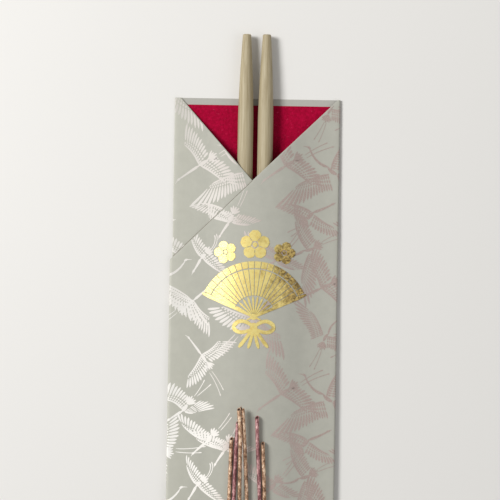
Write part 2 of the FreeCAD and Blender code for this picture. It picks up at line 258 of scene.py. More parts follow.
# ------------------------------------------------------------------ finishes
class Nodes:
    """A material's shader tree, with one Principled shader, built node by node."""

    def __init__(self, name: str) -> None:
        """Makes an empty material.

        Args:
            name: the material's name.
        """
        self.material = bpy.data.materials.new(name)
        self.material.use_nodes = True
        self.tree = self.material.node_tree
        self.shader = self.tree.nodes["Principled BSDF"]
        self.place = self.tree.nodes.new("ShaderNodeTexCoord").outputs["Object"]

    def set(self, **values: float) -> None:
        """Sets the shader's own sockets, by name with _ for a space."""
        for name, value in values.items():
            self.shader.inputs[name.replace("_", " ")].default_value = value

    def add(self, kind: str, inputs: dict[str, object] | None = None,
            **settings: object) -> bpy.types.Node:
        """Adds a node.

        Args:
            kind: its type, without the leading ShaderNode.
            inputs: values or sockets for its inputs, by name or place.
            settings: its other settings.

        Returns:
            The node.
        """
        made = self.tree.nodes.new("ShaderNode" + kind)
        for name, value in settings.items():
            setattr(made, name, value)
        for key, value in (inputs or {}).items():
            self.feed(made.inputs[key], value)
        return made

    def feed(self, socket: bpy.types.NodeSocket, value: object) -> None:
        """Links an input or sets its value.

        Args:
            socket: the input.
            value: a socket to link, a colour or another value.
        """
        if isinstance(value, bpy.types.NodeSocket):
            self.tree.links.new(value, socket)
        elif isinstance(value, tuple) and len(value) == 3 and socket.type == "RGBA":
            socket.default_value = (*value, 1.0)
        else:
            socket.default_value = value

    def across(self) -> bpy.types.NodeSocket:
        """How far to the right a place is, in metres."""
        return self.add("SeparateXYZ", {"Vector": self.place}).outputs["X"]

    def plus(self, one: bpy.types.NodeSocket, other: bpy.types.NodeSocket) -> bpy.types.NodeSocket:
        """The sum of two values."""
        return self.add("Math", {0: one, 1: other}, operation="ADD").outputs[0]

    def stretched(self, scale: Sequence[float]) -> bpy.types.NodeSocket:
        """The object's own coordinates, stretched by a scale along each axis."""
        return self.add("Mapping", {"Vector": self.place, "Scale": tuple(scale)}).outputs[0]

    def speckle(self, size: float, detail: float = 4, rough: float = 0.6,
                at: bpy.types.NodeSocket | None = None) -> bpy.types.NodeSocket:
        """Cloudy noise.

        Args:
            size: size of a cloud, in metres where `at` is left out.
            detail: how many finer layers.
            rough: how strong these are.
            at: coordinates, or the object's own.

        Returns:
            The noise, 0 to 1.
        """
        return self.add("TexNoise", {"Vector": at or self.place, "Scale": 1 / size,
                                     "Detail": detail, "Roughness": rough}).outputs["Fac"]

    def ramp(self, source: bpy.types.NodeSocket,
             stops: Sequence[tuple[float, Rgb]]) -> bpy.types.NodeSocket:
        """Colours along a value.

        Args:
            source: the value.
            stops: places and colours, lowest first.

        Returns:
            The colour.
        """
        made = self.add("ValToRGB", {"Fac": source})
        bar = made.color_ramp
        while len(bar.elements) < len(stops):
            bar.elements.new(0.5)
        for element, (where, colour) in zip(bar.elements, stops):
            element.position = where
            element.color = (*colour, 1.0)
        return made.outputs["Color"]

    def mix(self, share: object, low: object, high: object,
            way: str = "MIX") -> bpy.types.NodeSocket:
        """Mixes two colours.

        Args:
            share: how much of the second.
            low: the first colour.
            high: the second colour.
            way: the blend type.

        Returns:
            The mixed colour.
        """
        made = self.add("Mix", data_type="RGBA", blend_type=way)
        self.feed(made.inputs[0], share)
        self.feed(made.inputs[6], low)
        self.feed(made.inputs[7], high)
        return made.outputs[2]

    def spread(self, source: bpy.types.NodeSocket, low: float, high: float, start: float,
               end: float) -> bpy.types.NodeSocket:
        """Maps a value from one range to another."""
        return self.add("MapRange", {"Value": source, "From Min": low, "From Max": high,
                                     "To Min": start, "To Max": end}).outputs[0]

    def bump(self, height: bpy.types.NodeSocket, depth: float, strength: float = 1.0,
             under: bpy.types.NodeSocket | None = None) -> bpy.types.NodeSocket:
        """Raises the surface by a height.

        Args:
            height: 0 to 1.
            depth: how high 1 is, in metres.
            strength: how much of it shows.
            under: the normal that it adds to.

        Returns:
            The new normal.
        """
        given = {"Height": height, "Distance": depth, "Strength": strength}
        if under is not None:
            given["Normal"] = under
        return self.add("Bump", given).outputs[0]

    def wear(self, **sockets: object) -> bpy.types.Material:
        """Feeds the shader's sockets.

        Args:
            sockets: what feeds each, by name with _ for a space.

        Returns:
            The material.
        """
        for name, value in sockets.items():
            self.feed(self.shader.inputs[name.replace("_", " ")], value)
        return self.material


@dataclass(frozen=True)
class PatternedPaper:
    """Heavy silvery paper with a soft sheen; the cranes are laid on it. Its colour runs across the
    sleeve as painted light and shade: lightest at the far left edge, darkest a fifth of the way
    across, lighter again to the right.
    """

    half: float = 0.0375
    # painted light and shade: the paper's colour across the sleeve, from -half to half
    stops: tuple[tuple[float, Rgb], ...] = (
        (0.00, srgb(186, 185, 173)), (0.07, srgb(177, 176, 164)), (0.20, srgb(165, 164, 153)),
        (0.45, srgb(173, 172, 161)), (0.75, srgb(180, 179, 168)), (1.00, srgb(175, 174, 163)),
    )

    def made(self) -> bpy.types.Material:
        """Builds the finish.

        Returns:
            The material.
        """
        n = Nodes("patterned_paper")
        # painted light and shade across the sleeve
        tint = n.ramp(n.spread(n.across(), -self.half, self.half, 0, 1), self.stops)
        cloud = n.spread(n.speckle(0.004, 5), 0.3, 0.7, 0.965, 1.03)
        fibre = n.speckle(0.0006, 3, 0.7, n.stretched((1, 0.35, 1)))
        tint = n.mix(1.0, tint, n.add("CombineColor", {0: cloud, 1: cloud, 2: cloud}).outputs[0],
                     "MULTIPLY")
        n.set(Metallic=0.04, Specular_IOR_Level=0.3, Sheen_Weight=0.05, Sheen_Roughness=0.4)
        return n.wear(Base_Color=tint, Roughness=n.spread(fibre, 0.3, 0.7, 0.52, 0.64),
                      Normal=n.bump(fibre, 0.00004, 0.5))


@dataclass(frozen=True)
class PlainPaper:
    """The unprinted side and the cut edges of the sleeve's paper."""

    colour: Rgb = srgb(175, 173, 165)

    def made(self) -> bpy.types.Material:
        """Builds the finish.

        Returns:
            The material.
        """
        n = Nodes("plain_paper")
        fibre = n.speckle(0.0005, 5, 0.7, n.stretched((1, 0.5, 1)))
        tint = n.ramp(fibre, [(0.3, shade(self.colour, 0.93)), (0.7, self.colour)])
        n.set(Roughness=0.8, Specular_IOR_Level=0.3)
        return n.wear(Base_Color=tint, Normal=n.bump(fibre, 0.00004, 0.5))


@dataclass(frozen=True)
class PaintedFoldShade:
    """Painted shade: a dark grey line along the over flap's fold, where it lies on the under flap.
    """

    # painted shade: the dark grey of the line along the fold
    colour: Rgb = srgb(96, 90, 80)

    def made(self) -> bpy.types.Material:
        """Builds the finish.

        Returns:
            The material.
        """
        n = Nodes("painted_fold_shade")
        fold_mottle = n.speckle(0.0012, 4, 0.7)
        n.set(Roughness=0.85, Specular_IOR_Level=0.2)
        tint = n.ramp(fold_mottle, [(0.35, self.colour), (0.7, shade(self.colour, 2.2))])
        return n.wear(Base_Color=tint, Normal=n.bump(fold_mottle, 0.00004, 0.5))


@dataclass(frozen=True)
class RedPaper:
    """Crimson paper with long fibres in it."""

    colour: Rgb = srgb(160, 0, 46)
    deep: Rgb = srgb(132, 0, 34)
    pale: Rgb = srgb(180, 8, 60)

    def made(self) -> bpy.types.Material:
        """Builds the finish.

        Returns:
            The material.
        """
        n = Nodes("red_paper")
        bent = n.add("TexNoise", {"Vector": n.place, "Scale": 160, "Detail": 2})
        crooked = n.add("VectorMath", {0: bent.outputs["Color"], 1: (0.003, 0.003, 0.003),
                                       2: n.place}, operation="MULTIPLY_ADD").outputs[0]
        fibres = n.add("TexVoronoi", {"Vector": crooked, "Scale": 900}, feature="DISTANCE_TO_EDGE")
        thread = n.spread(fibres.outputs[0], 0.0, 0.16, 1, 0)
        cloud = n.speckle(0.0012, 6, 0.72)
        tint = n.ramp(cloud, [(0.32, self.deep), (0.55, self.colour), (0.72, self.pale)])
        tint = n.mix(n.spread(thread, 0, 1, 0, 0.3), tint, self.pale)
        fleck = n.speckle(0.0009, 2, 0.5)
        tint = n.mix(n.spread(fleck, 0.68, 0.78, 0, 0.5), tint, srgb(208, 70, 104))
        n.set(Roughness=0.8, Specular_IOR_Level=0.08)
        return n.wear(Base_Color=tint, Normal=n.bump(cloud, 0.00008, 0.6, n.bump(thread, 0.00003)))


@dataclass(frozen=True)
class PaleWood:
    """Sanded pale wood: fine long grain, small pores, a satin surface."""

    light: Rgb = srgb(179, 167, 137)
    dark: Rgb = srgb(150, 135, 104)

    def made(self) -> bpy.types.Material:
        """Builds the finish.

        Returns:
            The material.
        """
        n = Nodes("pale_wood")
        grain = n.speckle(0.0009, 6, 0.62, n.stretched((1, 0.035, 1)))
        rings = n.add("TexWave", {"Vector": n.stretched((1, 0.03, 1)), "Scale": 260,
                                  "Distortion": 5, "Detail": 3, "Detail Scale": 1.4},
                      bands_direction="X").outputs["Fac"]
        pores = n.speckle(0.00022, 2, 0.5, n.stretched((1, 0.06, 1)))
        tint = n.ramp(grain, [(0.3, self.dark), (0.62, self.light)])
        tint = n.mix(n.spread(rings, 0.2, 1, 0, 0.22), tint, self.dark)
        tint = n.mix(n.spread(pores, 0.62, 0.74, 0, 0.35), tint, srgb(134, 116, 82))
        n.set(Specular_IOR_Level=0.4)
        return n.wear(Base_Color=tint, Roughness=n.spread(grain, 0.3, 0.7, 0.62, 0.5),
                      Normal=n.bump(grain, 0.00005, 0.5, n.bump(pores, 0.00003, 0.4)))


@dataclass(frozen=True)
class PearlInk:
    """Pearly ink with painted reflection across the sleeve: white and silver on the left for the
    lamp's light mirrored in it, mauve on the right; on the left silvery at the top and white lower
    down.

    `silver` runs across the sleeve at `top` and `white` at `low`, from -half to half.
    """

    half: float = 0.0365
    top: float = 0.12
    low: float = -0.05
    # silver and white: painted reflection, light on the left and mauve on the right
    silver: tuple[tuple[float, Rgb], ...] = (
        (0.00, srgb(188, 184, 176)), (0.42, srgb(192, 185, 178)), (0.52, srgb(180, 167, 159)),
        (0.70, srgb(165, 148, 140)), (1.00, srgb(162, 144, 136)),
    )
    white: tuple[tuple[float, Rgb], ...] = (
        (0.00, srgb(240, 238, 232)), (0.30, srgb(231, 227, 220)), (0.43, srgb(212, 203, 195)),
        (0.58, srgb(180, 165, 157)), (1.00, srgb(163, 145, 137)),
    )

    def made(self) -> bpy.types.Material:
        """Builds the finish.

        Returns:
            The material.
        """
        n = Nodes("pearl_ink")
        across, along, _ = n.add("SeparateXYZ", {"Vector": n.place}).outputs
        fleck = n.speckle(0.0004, 4, 0.7)
        drift = n.speckle(0.012, 3)
        # across the sleeve, for the painted reflection
        moved = n.plus(n.spread(across, -self.half, self.half, 0, 1),
                       n.spread(drift, 0.3, 0.7, -0.1, 0.1))
        tint = n.mix(n.spread(along, self.low, self.top, 0, 1), n.ramp(moved, self.white),
                     n.ramp(moved, self.silver))
        bright = n.spread(fleck, 0.45, 0.75, 0.0, 0.35)
        tint = n.mix(bright, tint, srgb(222, 208, 202))
        n.set(Metallic=0.06, Specular_IOR_Level=0.35)
        return n.wear(Base_Color=tint, Roughness=n.spread(fleck, 0.3, 0.7, 0.5, 0.64),
                      Normal=n.bump(fleck, 0.00005, 0.5))


@dataclass(frozen=True)
class GoldFoil:
    """Hot-stamped gold foil with painted reflection: bright on its left for the lamp's light,
    mottled and brown on its right for darker surroundings.
    """

    light: Rgb = srgb(250, 230, 146)
    warm: Rgb = srgb(238, 206, 116)
    # brown and tan: painted shade, the foil's dark reflection on its right
    brown: Rgb = srgb(104, 82, 34)
    tan: Rgb = srgb(196, 168, 96)
    turn: Spot = (0.004, 0.015)

    def made(self) -> bpy.types.Material:
        """Builds the finish.

        Returns:
            The material.
        """
        n = Nodes("gold_foil")
        drift = n.spread(n.speckle(0.009, 3), 0.3, 0.7, -0.007, 0.007)
        # painted reflection: bright up to the first place of `turn` across, brown past the second
        right = n.spread(n.plus(n.across(), drift), *self.turn, 0, 1)
        mottle = n.speckle(0.0013, 5, 0.72)
        bright = n.ramp(mottle, [(0.3, self.warm), (0.55, self.light)])
        # painted shade: the dark reflection on the foil's right
        dull = n.ramp(mottle, [(0.42, self.brown), (0.6, self.tan)])
        tint = n.mix(n.add("Clamp", {"Value": right}).outputs[0], bright, dull)
        grain = n.speckle(0.0006, 4, 0.65)
        n.set(Metallic=0.45, Specular_IOR_Level=0.6)
        return n.wear(Base_Color=tint, Roughness=n.spread(grain, 0.3, 0.7, 0.26, 0.42),
                      Normal=n.bump(mottle, 0.0001, 0.5, n.bump(grain, 0.00006, 0.5)))


@dataclass(frozen=True)
class CordFoil:
    """The wrap of a paper cord: a narrow strip of foil wound round it and creased."""

    name: str
    light: Rgb
    middle: Rgb
    dark: Rgb
    metal: float = 0.55
    rough: float = 0.3

    def made(self) -> bpy.types.Material:
        """Builds the finish.

        Returns:
            The material.
        """
        n = Nodes(self.name)
        crease = n.speckle(0.0006, 5, 0.7, n.stretched((1, 0.6, 1)))
        patch = n.speckle(0.0017, 3, 0.65, n.stretched((1, 0.55, 1)))
        tint = n.ramp(n.mix(0.55, crease, patch), [(0.4, self.dark), (0.5, self.middle),
                                                   (0.6, self.light)])
        n.set(Metallic=self.metal, Specular_IOR_Level=0.6)
        return n.wear(Base_Color=tint,
                      Roughness=n.spread(crease, 0.3, 0.7, self.rough, self.rough + 0.2),
                      Normal=n.bump(crease, 0.00025, 0.8))


@dataclass(frozen=True)
class CordEndShade:
    """The sunk cut face at a cord's tip, painted near black as shade."""

    # painted shade: near black for the shaded cut face
    colour: Rgb = srgb(52, 36, 28)

    def made(self) -> bpy.types.Material:
        """Builds the finish.

        Returns:
            The material.
        """
        n = Nodes("cord_end_shade")
        layer = n.speckle(0.0002, 3)
        n.set(Roughness=0.9, Specular_IOR_Level=0.2)
        tint = n.ramp(layer, [(0.35, shade(self.colour, 0.5)), (0.7, shade(self.colour, 2.4))])
        return n.wear(Base_Color=tint)


@dataclass(frozen=True)
class Floor:
    """A plain pale table top."""

    colour: Rgb = srgb(226, 224, 220)

    def made(self) -> bpy.types.Material:
        """Builds the finish.

        Returns:
            The material.
        """
        n = Nodes("floor")
        n.set(Roughness=0.85, Specular_IOR_Level=0.2)
        return n.wear(Base_Color=n.ramp(n.speckle(0.3, 2), [(0.3, shade(self.colour, 0.985)),
                                                            (0.7, self.colour)]))


# ------------------------------------------------------------------ the sleeve's shape
@dataclass(frozen=True)
class SleeveShape:
    """The folded sleeve's driving sizes, in millimetres, and what follows from them.

    `drawn` is the paper's thickness as it is drawn. The under flap's slanted edge starts
    `corner` in from the left and runs through `apex`; `over_slant` is the over flap's, in
    degrees. The under flap ends `under_free` past the middle, and the over flap turns round
    `wrap_out` past the left side. `wave`, its size and its cut through the noise make the
    raised front a little uneven.
    """

    half: float = 36.8
    length: float = 242.0
    paper: float = 0.25
    drawn: float = 0.24
    lining: float = 0.15
    lining_gap: float = 0.1
    ply_gap: float = 0.05
    stick: float = 7.0
    stick_long: float = 240.0
    stick_air: float = 0.05
    stick_end: float = 211.0
    stick_taper: float = 37.0
    tent_air: float = 0.75
    closed_end: float = 4.0
    wrap_out: float = 0.7
    corner: float = 2.0
    apex: Spot = (-2.15, 37.0)
    over_slant: float = 44.3
    under_free: float = 20.0
    tab: float = 12.0
    tab_slant: float = 13.0
    tab_slant_low: float = 15.0
    bottom_inset: float = 1.0
    wave: float = 0.16
    wave_size: Spot = (26.0, 41.0)
    wave_cut: float = 3.7
    columns: int = 48
    rows: int = 79

    @cached_property
    def under_ply(self) -> float:
        """Height of the under flap's lower side."""
        return self.paper + self.lining + self.lining_gap + self.paper

    @cached_property
    def over_ply(self) -> float:
        """Height of the over flap's lower side: both hems lie under it."""
        return self.under_ply + 2 * self.paper + self.ply_gap

    @cached_property
    def front(self) -> float:
        """Height of the over flap's printed side."""
        return self.over_ply + self.paper

    @cached_property
    def rise(self) -> float:
        """How far the front is raised over the thick part of the sticks."""
        return self.stick_middle + self.stick / 2 + self.tent_air - self.under_ply

    @cached_property
    def stick_middle(self) -> float:
        """Height of the sticks' middle line."""
        return self.paper + self.lining + self.stick_air + self.stick / 2

    @cached_property
    def stick_show(self) -> float:
        """How far the sticks stand out over the top edge."""
        return self.stick_long - self.stick_end

    @cached_property
    def bottom(self) -> float:
        """How far down the bottom fold starts."""
        return self.length - self.over_ply / 2 - self.paper

    @cached_property
    def left_fold(self) -> float:
        """Where the over flap turns round the left side."""
        return -self.half - self.wrap_out

    @cached_property
    def left_side(self) -> float:
        """The sleeve's left side."""
        return self.left_fold - self.over_ply / 2 - self.paper

    @cached_property
    def right_side(self) -> float:
        """The sleeve's right side."""
        return self.half + (self.over_ply - self.paper) / 2 + self.paper

    @cached_property
    def stations(self) -> tuple[Spot, ...]:
        """How the front's rise runs down the sleeve.

        Returns:
            Places down the front, and the share of the full rise that it has there.
        """
        taper, closed = self.stick_end - self.stick_taper, self.bottom - self.closed_end
        below = closed - self.stick_end
        return ((0.0, 1.0), (taper + 2.0, 1.0), (taper + 0.65 * self.stick_taper, 0.905),
                (self.stick_end, 0.81), (self.stick_end + 0.35 * below, 0.62),
                (self.stick_end + 0.70 * below, 0.30), (closed, 0.0), (self.length, 0.0))

    @cached_property
    def under_slope(self) -> float:
        """How steeply the under flap's edge runs down."""
        return self.apex[1] / (self.apex[0] + self.half - self.corner)

    @cached_property
    def over_slope(self) -> float:
        """How steeply the over flap's edge runs down."""
        return math.tan(math.radians(self.over_slant))

    def over_edge(self, across: float) -> float:
        """How far down the over flap's edge is."""
        return (self.half - across) * self.over_slope

    def rise_at(self, down: float) -> float:
        """How far the front's middle stands over its sides.

        Args:
            down: how far from the top edge.

        Returns:
            The rise there.
        """
        for (a, low), (b, high) in zip(self.stations, self.stations[1:]):
            if down <= b:
                return self.rise * (low + (high - low) * max(0.0, (down - a) / (b - a)))
        return 0.0

    def lift(self, across: float, down: float) -> float:
        """How far the front stands over the side folds: an S on each flank, a little uneven.

        Args:
            across: a place across the front.
            down: how far from the top edge.

        Returns:
            The height over the folds.
        """
        rise, away = self.rise_at(down), abs(across)
        if rise < 0.01 or away >= self.half:
            return 0.0
        radius = (self.half**2 + rise**2) / (4 * rise)
        if away > self.half / 2:
            height = radius - math.sqrt(radius**2 - (self.half - away) ** 2)
        else:
            height = rise - radius + math.sqrt(radius**2 - away**2)
        wide, long = self.wave_size
        drift = noise.noise(Vector((across / wide, down / long, self.wave_cut)))
        return height + self.wave * drift * height / self.rise


@dataclass(frozen=True)
class CordSizes:
    """What the three cords share, in millimetres: sizes, gaps, and where knot and band lie."""

    thick: float = 1.8
    gap: float = 0.1
    cross_gap: float = 0.25
    seat: float = 0.4
    band_seat: float = 0.1
    knot: Spot = (-2.25, 207.0)
    band_down: float = 26.6

    @property
    def pitch(self) -> float:
        """From one cord's middle to the next one's."""
        return self.thick + self.gap

    @property
    def lift(self) -> float:
        """How far a cord rises to pass over another."""
        return self.thick + self.cross_gap

    @property
    def out(self) -> float:
        """From the sleeve to the middle of a cord of the band."""
        return self.band_seat + self.thick / 2


@dataclass(frozen=True)
class Lie:
    """How the sleeve lies: on its top edge and on the band of cords under its lower end."""

    shape: SleeveShape
    cords: CordSizes

    @cached_property
    def matrix(self) -> Matrix:
        """Tips the sleeve on to what it rests on, and puts its middle at the frame's.

        Returns:
            From the sleeve's own frame in millimetres to the row frame in metres.
        """
        s, c = self.shape, self.cords
        band, drop = c.knot[1] + c.band_down - c.pitch, s.paper + c.out
        tip = math.atan2(drop, band) + math.asin(c.thick / 2 / math.hypot(band, drop))
        middle = (-(s.left_side + s.right_side) / 2, (s.length - s.stick_show) / 2, 0)
        return (Matrix.Scale(0.001, 4) @ Matrix.Translation(middle)
                @ Matrix.Rotation(-tip, 4, "X"))

    def settle(self, piece: bpy.types.Object) -> bpy.types.Object:
        """Puts a piece's mesh in the row frame.

        Args:
            piece: a piece in the sleeve's own frame.

        Returns:
            The same piece.
        """
        piece.data.transform(self.matrix)
        piece.data.update()
        return piece


@dataclass
class Sleeve:
    """The sleeve's one sheet of paper, folded: back, side folds, two flaps, hems and tabs.

    What lies under `tab_height` is a tab, and what lies over `flap_height` is raised over the
    sticks. `fold_shade_slot` is the place among the materials of the painted shade along the fold.
    """

    shape: SleeveShape
    hem: float = 14.0
    hem_side: float = 1.5
    tab_height: float = -0.1
    flap_height: float = 0.51
    under_step: float = 1.52
    turn_steps: int = 8
    hem_steps: int = 7
    side_steps: int = 8
    bottom_steps: int = 5
    # the material slot of the painted shade along the fold
    fold_shade_slot: int = 2

    @cached_property
    def mid(self) -> float:
        """Height of the back panel's middle."""
        return self.shape.paper / 2

    @cached_property
    def under(self) -> float:
        """Height of the under flap's middle, before the front is raised."""
        return self.shape.under_ply + self.mid

    @cached_property
    def over(self) -> float:
        """Height of the over flap's middle, before the front is raised."""
        return self.shape.over_ply + self.mid

    def step_out(self, count: int, across: float = 0.0, along: float = 0.0) -> None:
        """Extends the open rim that is picked, in steps.

        Args:
            count: how many steps.
            across: how far in all, across.
            along: how far in all, along.
        """
        move = (across / count, along / count, 0)
        for _ in range(count):
            bpy.ops.mesh.extrude_region_move(TRANSFORM_OT_translate={"value": move})

    def turn(self, centre: Sequence[float], axis: Sequence[float], angle: float) -> None:
        """Folds the paper on from the picked rim, round an axis."""
        bpy.ops.mesh.spin(steps=self.turn_steps, angle=angle, center=tuple(centre),
                          axis=tuple(axis), use_auto_merge=False)

    def folded(self) -> bpy.types.Object:
        """Folds the sheet flat, at the middle of the paper's thickness.

        Returns:
            The sheet, as faces with no thickness.
        """
        s, mid = self.shape, self.mid
        sheet = grid("sleeve_paper", 2 * s.half, s.bottom, s.columns, s.rows,
                     (0, -s.bottom / 2, mid))
        edit(sheet)
        bpy.ops.mesh.select_all(action="SELECT")
        bpy.ops.mesh.flip_normals()

        pick_rim(sheet, lambda p: p.x < -s.half + CLEAR)
        self.turn((-s.half, 0, (mid + self.under) / 2), (0, 1, 0), -math.pi)
        wide = s.half + s.under_free
        self.step_out(round(wide / self.under_step), across=wide)

        pick_rim(sheet, lambda p: p.x > s.half - CLEAR and p.z < mid + CLEAR)
        self.turn((s.half, 0, (mid + self.over) / 2), (0, 1, 0), math.pi)
        self.step_out(s.columns, across=-2 * s.half)
        self.step_out(1, across=-s.wrap_out)
        self.turn((s.left_fold, 0, (self.over - mid) / 2), (0, 1, 0), math.pi)
        self.step_out(self.side_steps, across=s.wrap_out + s.tab)
        self.slant_edges(sheet)
        self.turn_hem(sheet, self.over, -s.over_slope, s.half)
        self.paint_fold_shade(sheet)
        self.turn_hem(sheet, self.under, s.under_slope, s.corner - s.half)
        self.close_bottom(sheet)
        leave()
        return sheet

    def slant_edges(self, sheet: bpy.types.Object) -> None:
        """Cuts the flaps' slanted edges and the side tab's two ends.

        Args:
            sheet: the sheet, in edit mode.
        """
        s, reach = self.shape, self.shape.tab + self.shape.wrap_out
        pick_faces(sheet, lambda p: p.z > self.over - CLEAR
                   or (p.x < s.left_fold and p.z > self.tab_height))
        cut((s.half, 0, 0), (-s.over_slope, 1, 0), drop=True)
        pick_faces(sheet, lambda p: abs(p.z - self.under) < CLEAR)
        cut((s.corner - s.half, 0, 0), (s.under_slope, 1, 0), drop=True)
        for down, way in ((s.over_edge(s.left_fold), (s.tab_slant, reach, 0)),
                          (s.bottom, (s.tab_slant_low, -reach, 0))):
            pick_faces(sheet, lambda p: p.z < self.tab_height)
            cut((s.left_fold, -down, 0), way, drop=True)

    def turn_hem(self, sheet: bpy.types.Object, height: float, slope: float,
                 start: float) -> None:
        """Turns a hem under along a flap's slanted edge.

        Args:
            sheet: the sheet, in edit mode.
            height: the flap's middle.
            slope: how steeply the edge runs down towards +x.
            start: where the edge meets the top edge, across.
        """
        s = self.shape
        way = Vector((1, -slope, 0)).normalized()
        inward = Vector((way.y, -way.x, 0))

        def on_edge(p: Vector) -> bool:
            """Whether a place is on the flap's slanted edge."""
            off = (p - Vector((start, 0, 0))).dot(inward)
            return abs(off) < 1e-3 and abs(p.z - height) < 1e-3 and abs(p.x) < s.half + CLEAR

        pick_rim(sheet, on_edge)
        self.turn((start, 0, height - self.mid), way, math.pi)
        self.step_out(self.hem_steps, across=inward.x * self.hem, along=inward.y * self.hem)
        for out in (-1, 1):
            pick_faces(sheet, lambda p: abs(p.z - (height - s.paper)) < 0.01)
            cut((out * (s.half - self.hem_side), 0, 0), (out, 0, 0), drop=True)

    def paint_fold_shade(self, sheet: bpy.types.Object) -> None:
        """Paints shade on the over flap's fold where it lies on the under flap.

        Args:
            sheet: the sheet, in edit mode.
        """
        s, low = self.shape, self.over - self.shape.paper
        pick_faces(sheet, lambda p: low + CLEAR < p.z < self.over - CLEAR
                   and p.x < s.apex[0] and -p.y < s.over_edge(p.x) - CLEAR)
        paint_picked(sheet, self.fold_shade_slot)

    def close_bottom(self, sheet: bpy.types.Object) -> None:
        """Folds the over flap's lower end round to the back, as a tab with slanted ends.

        Args:
            sheet: the sheet, in edit mode.
        """
        s, low = self.shape, -self.mid
        end = s.half - s.bottom_inset
        pick_rim(sheet, lambda p: p.y < -s.bottom + CLEAR and p.z > self.over - CLEAR
                 and abs(p.x) < end)
        self.turn((0, -s.bottom, (self.over + low) / 2), (1, 0, 0), -math.pi)
        self.step_out(self.bottom_steps, along=s.tab)
        for out in (-1, 1):
            pick_faces(sheet, lambda p: p.z < low + CLEAR and abs(p.x) < end
                       and -s.bottom < p.y < -s.bottom + s.tab)
            cut((out * end, -s.bottom, 0), (out * s.tab, s.tab_slant, 0), drop=True)

    def tented(self, sheet: bpy.types.Object) -> None:
        """Raises the front over the sticks.

        Args:
            sheet: the folded sheet.
        """
        for vertex in sheet.data.vertices:
            p = vertex.co
            if p.z > self.flap_height and abs(p.x) < self.shape.half:
                p.z += self.shape.lift(p.x, -p.y)
        sheet.data.update()

    def build(self, lie: Lie, papers: Sequence[bpy.types.Material]) -> bpy.types.Object:
        """Builds the sleeve.

        Args:
            lie: how it lies.
            papers: the printed side's paper, the plain side's and the painted shade along the fold.

        Returns:
            The piece.
        """
        sheet = self.folded()
        self.tented(sheet)
        for paper in papers:
            sheet.data.materials.append(paper)
        finish_with(sheet, "SOLIDIFY", thickness=self.shape.drawn, offset=0,
                    use_even_offset=False, material_offset=1, material_offset_rim=1)
        smooth(sheet, 40)
        return lie.settle(sheet)


# ------------------------------------------------------------------ the print and the foil
class Nib(Enum):
    """How a stroke's width runs along it."""

    LINE = "line"
    FEATHER = "feather"
    PETAL = "petal"
    PLATE = "plate"

    def share(self, along: float) -> float:
        """How wide a stroke is at a place along it.

        Args:
            along: the place, 0 to 1.

        Returns:
            The share of its full width.
        """
        if self is Nib.PLATE:
            return 1.0
        if self is Nib.LINE:
            return min(1.0, 0.45 + 6 * along, 0.45 + 6 * (1 - along))
        if self is Nib.FEATHER:
            end = max(0.0, (along - 0.6) / 0.4)
            return min(1.0, 0.55 + 1.8 * along) * math.sqrt(max(0.05, 1 - end**2))
        return max(0.2, math.sin(math.pi * min(0.985, along) ** 1.25)) ** 0.55


@dataclass(frozen=True)
class Stroke:
    """A flat curved strip, from its start past a bend to its end, in millimetres."""

    start: Spot
    bend: Spot
    end: Spot
    wide: Spot
    nib: Nib = Nib.LINE
    level: int = 0
    rows: int = 4
    columns: int = 1


def spot(start: Spot, degrees: float, far: float) -> Spot:
    """The place that lies some way off in a direction."""
    angle = math.radians(degrees)
    return start[0] + far * math.cos(angle), start[1] + far * math.sin(angle)


def arc_at(first: Sequence[float], half: Sequence[float], last: Sequence[float],
           share: float) -> tuple[float, ...]:
    """A smooth run through three sets of values.

    Args:
        first: the values at the start.
        half: the values half way.
        last: the values at the end.
        share: how far along, 0 to 1.

    Returns:
        The values there.
    """
    return tuple(a + share * (4 * b - 3 * a - c) + share**2 * (2 * a - 4 * b + 2 * c)
                 for a, b, c in zip(first, half, last))


@dataclass
class Brush:
    """Draws strokes: each one is a copy of a small grid, laid along the stroke's curve.

    Each level of strokes lies a `step` over the one below it.
    """

    step: float = 0.004
    blanks: dict[tuple[int, int], bpy.types.Object] = field(default_factory=dict)

    def blank(self, columns: int, rows: int) -> bpy.types.Object:
        """Finds or makes the grid that strokes with so many faces are copied from.

        Args:
            columns: faces across.
            rows: faces along.

        Returns:
            The grid.
        """
        if (columns, rows) not in self.blanks:
            self.blanks[columns, rows] = grid(f"blank_{columns}_{rows}", 1, 1, columns, rows,
                                              (0, 0.5, 0))
        return self.blanks[columns, rows]

    def drawn(self, stroke: Stroke) -> bpy.types.Object:
        """Draws one stroke.

        Args:
            stroke: what it is like.

        Returns:
            The stroke, as an object with its own mesh.
        """
        piece = copied(self.blank(stroke.columns, stroke.rows))
        a, b, c = (Vector((*p, 0)) for p in (stroke.start, stroke.bend, stroke.end))
        for vertex in piece.data.vertices:
            t = min(1.0, max(0.0, vertex.co.y))
            way = ((b - a) * (1 - t) + (c - b) * t).normalized()
            wide = (stroke.wide[0] * (1 - t) + stroke.wide[1] * t) * stroke.nib.share(t)
            across = Vector((way.y, -way.x, 0)) * vertex.co.x * wide
            middle = a * (1 - t) ** 2 + b * (2 * t * (1 - t)) + c * t**2
            vertex.co = middle + across + Vector((0, 0, stroke.level * self.step))
        return piece

    def all_of(self, name: str, strokes: Sequence[Stroke]) -> bpy.types.Object:
        """Draws strokes and joins them."""
        return joined(name, [self.drawn(stroke) for stroke in strokes])

    def put_away(self) -> None:
        """Removes the grids that the strokes were copied from."""
        for piece in self.blanks.values():
            bpy.data.objects.remove(piece)
        self.blanks.clear()


